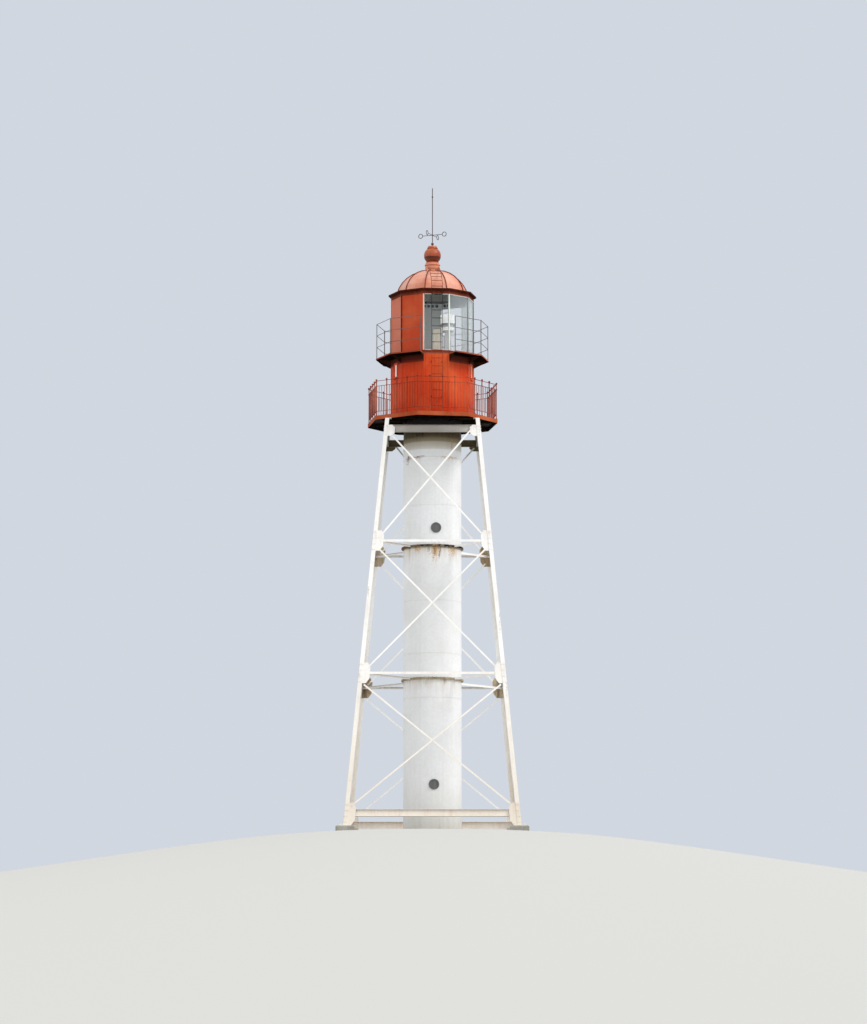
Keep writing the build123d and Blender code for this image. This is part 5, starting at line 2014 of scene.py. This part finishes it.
class WatchRoom(Assembly):
    """The ten-sided watch room: walls, corner strips, windows and the rear door."""

    sizes = WatchSizes()

    def build(self) -> None:
        """Dresses the watch room."""
        self.paint(WALL_RED, "watch_walls", "watch_opened_walls")
        self.paint(DOOR_RED, "doors", "door_frames")
        self._corner_strips()
        self._window_trims()

    def _corner_strips(self) -> None:
        """Adds the bent cover strips over the ten corners of the wall."""
        sizes = self.sizes
        low, high = self.part.low("watch_walls"), self.part.high("watch_walls")
        radius = self.part.reach("watch_walls")
        size = (sizes.strip_width / 2, sizes.strip_depth, high - low - sizes.strip_short)
        draft = Draft()
        for side in (-1, 1):
            aside = side * sizes.strip_width / 4 * math.cos(HEAD_HALF)
            middle = (aside, -radius + sizes.strip_sink, (low + high) / 2)
            draft.box(middle, size, Matrix.Rotation(side * HEAD_HALF, 3, "Z"))
        self.round_head(draft, "wall_corner_strips", WALL_RED, on_corners=True)

    def _window_trims(self) -> None:
        """Adds flat trims round the two windows, with a small sill."""
        sizes = self.sizes
        apothem = self.part.side_reach("watch_walls")
        middle = self.part.high("gallery_deck") + sizes.window_middle
        wide, tall, trim = sizes.window_width, sizes.window_height, sizes.trim
        out = -apothem - sizes.trim_proud
        sill = (0.0, -apothem - sizes.sill_proud, middle - tall / 2 - trim - sizes.sill_height / 2)
        rows = {"right_window_trim": sizes.right_window, "left_window_trim": sizes.left_window}
        for name, side in rows.items():
            draft = Draft()
            for end in (-1, 1):
                draft.box((end * (wide + trim) / 2, out, middle), (trim, sizes.trim_depth, tall + 2 * trim))
                draft.box((0.0, out, middle + end * (tall + trim) / 2), (wide, sizes.trim_depth, trim))
            draft.box(sill, (wide + 3 * trim, sizes.sill_depth, sizes.sill_height))
            self.round_head(draft, name, WINDOW_RED, sides=[side])


class UpperGallery(Assembly):
    """The upper gallery: deck plates, brackets and the three-rail railing."""

    def build(self) -> None:
        """Dresses the upper gallery."""
        self.paint(UPPER_DECK_RED, "upper_deck", "lantern_floor")
        self.paint(BRACKET_DARK, "deck_brackets")
        self.paint(RAIL_GREY, "upper_railing")


@dataclass
class LanternSizes:
    """Sizes of what the scene adds to the lantern, in metres, and the number of its glazed sides."""

    glazed: int = 5
    bead: float = 0.018
    bead_sink: float = 0.006
    bead_short: float = 0.10
    vents: int = 5
    vent_pitch: float = 0.157
    vent_drop: float = 0.095
    vent_screen: float = 0.046
    vent_mouth: float = 0.058
    vent_depth: float = 0.006
    vent_proud: float = 0.004
    vent_clear: float = 0.008
    vent_flats: int = 16
    head_wall: float = 0.010
    faded_side: float = -1.15


class Lantern(Assembly):
    """The ten-sided lantern: panes, blind panels, mullions, sill and vented head band."""

    sizes = LanternSizes()
    mullion_paints = (MULLION_RED, MULLION_SALMON, MULLION_ORANGE, MULLION_PALE, MULLION_HALF_SHADED, MULLION_SHADED)
    # By corner, counted to the right from the one left of the front: the others are red. The shaded ones are
    # painted shade against the bright glass
    corner_paints = {-5: MULLION_PALE, -2: MULLION_SALMON, 0: MULLION_ORANGE, 1: MULLION_PALE,
                     2: MULLION_HALF_SHADED, 3: MULLION_SHADED, 4: MULLION_PALE, 5: MULLION_PALE}

    def build(self) -> None:
        """Dresses the lantern room."""
        self.paint(CLEAR_GLASS, "lantern_glazing")
        self.copy("lantern_panels", PANEL_RED, PANEL_FADED,
                  choose=lambda middle: int(middle.x < self.sizes.faded_side))
        self.copy("lantern_mullions", *self.mullion_paints, choose=self._mullion_paint)
        self.paint(HEAD_RED, "lantern_head")
        self.paint(SILL_RED, "lantern_sill")
        self._glazing_beads()
        self._vent_screens()

    def _mullion_paint(self, middle: Vector) -> int:
        """Chooses a mullion's paint by its bearing.

        Args:
            middle: Middle of one of its faces.

        Returns:
            Number of the paint.
        """
        bearing = math.degrees(math.atan2(middle.x, -middle.y))
        corner = round((bearing - HEAD_TURN) / HEAD_STEP)
        return self.mullion_paints.index(self.corner_paints.get(corner, MULLION_RED))

    def _vent_screens(self) -> None:
        """Adds the covers over the round vents of the head band, outside and inside."""
        sizes = self.sizes
        height = self.part.high("lantern_head") - sizes.vent_drop
        apothem = self.part.side_reach("lantern_head")
        outside, inside = -apothem - sizes.vent_proud, -apothem + sizes.head_wall + sizes.vent_clear
        upright = Matrix.Rotation(math.radians(90), 4, "X")
        # The mouths inside are near-black discs: painted shade in the vent holes
        rows = {"vent_covers": (outside, sizes.vent_screen, VENT_COVER),
                "vent_mouths": (inside, sizes.vent_mouth, BEAM_DARK)}
        for name, (depth, radius, finish) in rows.items():
            draft = Draft()
            for index in range(sizes.vents):
                across = (index - (sizes.vents - 1) / 2) * sizes.vent_pitch
                place = Matrix.Translation((across, depth, height)) @ upright
                draft.disc(sizes.vent_flats, radius, sizes.vent_depth, place)
            self.round_head(draft, name, finish)

    def _glazing_beads(self) -> None:
        """Adds the thin bars that hold the panes at sill and head."""
        sizes = self.sizes
        low, high = self.part.low("lantern_glazing"), self.part.high("lantern_glazing")
        apothem = self.part.side_reach("lantern_sill")
        width = 2 * apothem * math.tan(HEAD_HALF) - sizes.bead_short
        draft = Draft()
        for height in (low + sizes.bead / 2, high - sizes.bead / 2):
            draft.box((0.0, -apothem + sizes.bead_sink, height), (width, sizes.bead, sizes.bead))
        self.round_head(draft, "glazing_beads", MULLION_PALE, sides=range(sizes.glazed))


@dataclass
class RoofSizes:
    """Sizes of the turned ventilator, in metres."""

    neck: float = 0.275
    flare: float = 0.300
    flare_height: float = 0.055
    flare_edge: float = 0.008
    flare_bend: float = 0.4
    collar: float = 0.295
    collar_height: float = 0.070
    collar_rise: float = 0.305
    collar_steps: int = 8
    lid: float = 0.253
    lid_bore: float = 0.090
    sink: float = 0.060
    wall: float = 0.012
    ball: float = 0.318
    ball_foot: float = 0.165
    ball_height: float = 0.540
    cap: float = 0.200
    cap_lift: float = 0.004
    cap_edge: float = 0.018
    cap_shoulder: float = 0.98
    cap_crown: float = 0.80
    flats: int = 64
    arc_steps: int = 18


class Roof(Assembly):
    """The roof: eave skirt, dome, ribs, ventilator and rod."""

    sizes = RoofSizes()

    def build(self) -> None:
        """Dresses the roof."""
        self.paint(ROOF_SALMON, "dome")
        self.paint(RIB_RED, "dome_ribs")
        self.paint(EAVE_DARK, "roof_eave")
        self.paint(ROD_DARK, "lightning_rod")
        self._ball()
        self._neck()

    def _ball(self) -> None:
        """Makes the round ventilator ball with its cap."""
        sizes = self.sizes
        low, top = self.part.low("ventilator_ball"), self.part.high("ventilator_ball")
        half = sizes.ball_height / 2
        span = math.asin(half / sizes.ball)
        profile = [(0.0, low)]
        for step in range(sizes.arc_steps + 1):
            angle = span * (2 * step / sizes.arc_steps - 1)
            radius = max(sizes.ball_foot, sizes.ball * math.cos(angle))
            profile.append((radius, low + half + sizes.ball * math.sin(angle)))
        brim = low + sizes.ball_height
        profile += [(sizes.cap, brim + sizes.cap_lift),
                    (sizes.cap * sizes.cap_shoulder, brim + sizes.cap_edge),
                    (sizes.cap * sizes.cap_crown, top), (0.0, top)]
        piece = self._turned("ventilator_ball_round", VENTILATOR_RED, profile)
        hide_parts("ventilator_ball")

    def _neck(self) -> None:
        """Makes the round ventilator neck with its flared foot, rolled collar and lid."""
        sizes = self.sizes
        low, top = self.part.low("ventilator_neck"), self.part.high("ventilator_neck")
        foot = low + sizes.sink
        collar = low + sizes.collar_rise
        bend = foot + sizes.flare_bend * sizes.flare_height
        profile = [(sizes.neck, low), (sizes.flare, foot), (sizes.neck + sizes.flare_edge, bend),
                   (sizes.neck, foot + sizes.flare_height), (sizes.neck, collar - sizes.collar_height / 2)]
        for step in range(sizes.collar_steps + 1):
            angle = math.pi * (step / sizes.collar_steps - 0.5)
            bulge = (sizes.collar - sizes.neck) * math.cos(angle)
            profile.append((sizes.neck + bulge, collar + sizes.collar_height / 3 * math.sin(angle)))
        inner = sizes.lid - sizes.wall
        profile += [(sizes.lid, collar + sizes.collar_height / 2), (sizes.lid, top), (sizes.lid_bore, top),
                    (sizes.lid_bore, top - sizes.wall), (inner, top - sizes.wall), (inner, low),
                    (sizes.neck, low)]
        piece = self._turned("ventilator_neck_round", NECK_SALMON, profile)
        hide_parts("ventilator_neck")

    def _turned(self, name: str, finish: Paint, profile: Sequence[tuple[float, float]]) -> bpy.types.Object:
        """Makes a smoothly turned piece and enters it.

        Args:
            name: Name of the piece.
            finish: Its paint.
            profile: Radius and height pairs from the bottom up.

        Returns:
            The piece.
        """
        draft = Draft()
        draft.lathe(profile, self.sizes.flats)
        piece = draft.piece(name, self.shop.finishes.material(finish))
        self.shop.enter(piece, finish.slot)
        return piece


class Ladders(Assembly):
    """The ladder up the front and its bent part over the dome."""

    def build(self) -> None:
        """Dresses both ladders."""
        self.paint(LADDER_DARK, "gallery_ladder")
        self.paint(LADDER_SALMON, "roof_ladder")


@dataclass
class LampSizes:
    """Sizes of the lens ribs on the lamp, in metres, and the lamp's crease in degrees."""

    ribs: int = 14
    rib_bead: float = 0.010
    rib_sink: float = 0.008
    rib_rise: float = 0.16
    rib_pitch: float = 0.034
    rib_flats: int = 48
    crease: float = 30.0


class LightApparatus(Assembly):
    """The lamp on its stand and the cabinet beside it."""

    sizes = LampSizes()

    def build(self) -> None:
        """Dresses the light apparatus."""
        self.copy("lamp_drum", LAMP_WHITE, crease=self.sizes.crease)
        self.paint(STAND_PALE, "lamp_stand")
        self.paint(CABINET_BEIGE, "control_cabinet")
        self._lens_ribs()

    def _lens_ribs(self) -> None:
        """Adds the level ribs round the lamp's lens."""
        sizes = self.sizes
        low_corner, high_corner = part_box("lamp_drum")
        centre = (low_corner[0] + high_corner[0]) / 2
        radius = (high_corner[0] - low_corner[0]) / 2
        values = {"Radius": radius - sizes.rib_sink, "Bead": sizes.rib_bead,
                  "First": (centre, 0.0, low_corner[2] + sizes.rib_rise), "Pitch": sizes.rib_pitch,
                  "Count": sizes.ribs, "Flats": sizes.rib_flats}
        self.grow(self.trees.hoops, "lens_ribs", LAMP_WHITE, values)


@dataclass
class StudioSizes:
    """Camera, light and floor of the studio, in metres and degrees."""

    eye: Point = (0.04, -150.0, -10.1)
    tilt: float = 8.44
    focal: float = 143.54
    clip: tuple[float, float] = (1.0, 600.0)
    sun_turn: float = 62.0
    sun_height: float = 46.0
    sun_power: float = 1.72
    sun_angle: float = 20.0
    sun_colour: tuple[float, float, float] = (1.0, 0.975, 0.94)
    sky_strength: float = 1.06
    sky_colour: Colour = (0.97, 0.985, 1.0, 1.0)
    backdrop: Colour = screen_colour(209, 215, 224)
    floor_level: float = 5.4
    floor_radius: float = 240.0
    floor_fall: float = 17.0
    floor_run: float = 90.0
    floor_brow: float = 3.0
    floor_rings: int = 48
    floor_flats: int = 128
    floor_colour: Colour = screen_colour(192, 192, 188)
    floor_roughness: float = 0.9
    floor_gloss: float = 0.1


class Studio:
    """Floor, light and camera."""

    sizes = StudioSizes()

    def build(self) -> None:
        """Sets up the whole studio."""
        self._camera()
        self._sky()
        self._sun()
        self._floor()
        bpy.context.scene.view_settings.view_transform = "Standard"

    def _camera(self) -> None:
        """Places the camera at the photograph's viewing angle: far off, low, looking up."""
        data = bpy.data.cameras.new("camera")
        data.lens = self.sizes.focal
        data.clip_start, data.clip_end = self.sizes.clip
        camera = new_object("camera", data)
        camera.location = self.sizes.eye
        camera.rotation_euler = (math.radians(90 + self.sizes.tilt), 0.0, 0.0)
        bpy.context.scene.camera = camera

    def _sky(self) -> None:
        """Sets even light all round, and a pale blue-grey backdrop where it is seen."""
        world = bpy.data.worlds.new("studio")
        bpy.context.scene.world = world
        world.use_nodes = True
        graph = ShaderGraph(world.node_tree)
        light = world.node_tree.nodes["Background"]
        light.inputs["Color"].default_value = self.sizes.sky_colour
        light.inputs["Strength"].default_value = self.sizes.sky_strength
        seen = graph.node("ShaderNodeBackground", {"Color": self.sizes.backdrop, "Strength": 1.0})
        path = graph.node("ShaderNodeLightPath").outputs
        direct = graph.calc("MAXIMUM", path["Is Camera Ray"], path["Is Glossy Ray"])
        share = graph.calc("MAXIMUM", direct, path["Is Transmission Ray"])
        mixed = graph.node("ShaderNodeMixShader", {0: share, 1: light.outputs[0], 2: seen.outputs[0]})
        graph.feed(world.node_tree.nodes["World Output"].inputs["Surface"], mixed.outputs[0])

    def _sun(self) -> None:
        """Adds one broad soft lamp from the right and in front."""
        data = bpy.data.lights.new("soft_sun", "SUN")
        data.energy = self.sizes.sun_power
        data.angle = math.radians(self.sizes.sun_angle)
        data.color = self.sizes.sun_colour
        lamp = new_object("soft_sun", data)
        turn, rise = math.radians(self.sizes.sun_turn), math.radians(self.sizes.sun_height)
        away = Vector((math.sin(turn) * math.cos(rise), -math.cos(turn) * math.cos(rise), math.sin(rise)))
        lamp.rotation_euler = away.to_track_quat("Z", "Y").to_euler()

    def _floor(self) -> None:
        """Lays a pale floor, level under the tower, that falls gently away and passes below the camera."""
        sizes = self.sizes
        profile = [(0.0, 0.0)]
        for ring in range(sizes.floor_rings + 1):
            share = ring / sizes.floor_rings
            radius = sizes.floor_level + (sizes.floor_radius - sizes.floor_level) * share * share
            past = radius - sizes.floor_level
            run = past * past / (past + sizes.floor_brow)
            profile.append((radius, -sizes.floor_fall * (1 - math.exp(-run / sizes.floor_run))))
        work = bmesh.new()
        rings = [[work.verts.new(point) for point in level_ring(radius, height, sizes.floor_flats)]
                 for radius, height in profile]
        for low, high in zip(rings, rings[1:]):
            for index in range(sizes.floor_flats):
                follow = (index + 1) % sizes.floor_flats
                corners = [low[index % len(low)], high[index], high[follow], low[follow % len(low)]]
                work.faces.new(list(dict.fromkeys(corners))).smooth = True
        mesh = bpy.data.meshes.new("floor")
        work.to_mesh(mesh)
        work.free()
        material = bpy.data.materials.new("studio_floor")
        material.use_nodes = True
        shader = material.node_tree.nodes["Principled BSDF"]
        shader.inputs["Base Color"].default_value = sizes.floor_colour
        shader.inputs["Roughness"].default_value = sizes.floor_roughness
        shader.inputs["Specular IOR Level"].default_value = sizes.floor_gloss
        mesh.materials.append(material)
        floor = new_object("floor", mesh)


def main() -> None:
    """Builds the studio and every sub-assembly in order."""
    logging.basicConfig(level=logging.INFO, format="%(name)s: %(message)s")
    shop = Workshop()
    trees = GrowthTrees()
    for kind in (Footing, BracedFrame, Tube, LowerGallery, WatchRoom, UpperGallery, Lantern, Roof, Ladders,
                 LightApparatus):
        kind(shop, trees).build()
    Studio().build()
    log.info("%d pieces added", shop.count)


if __name__ == "__main__":
    main()
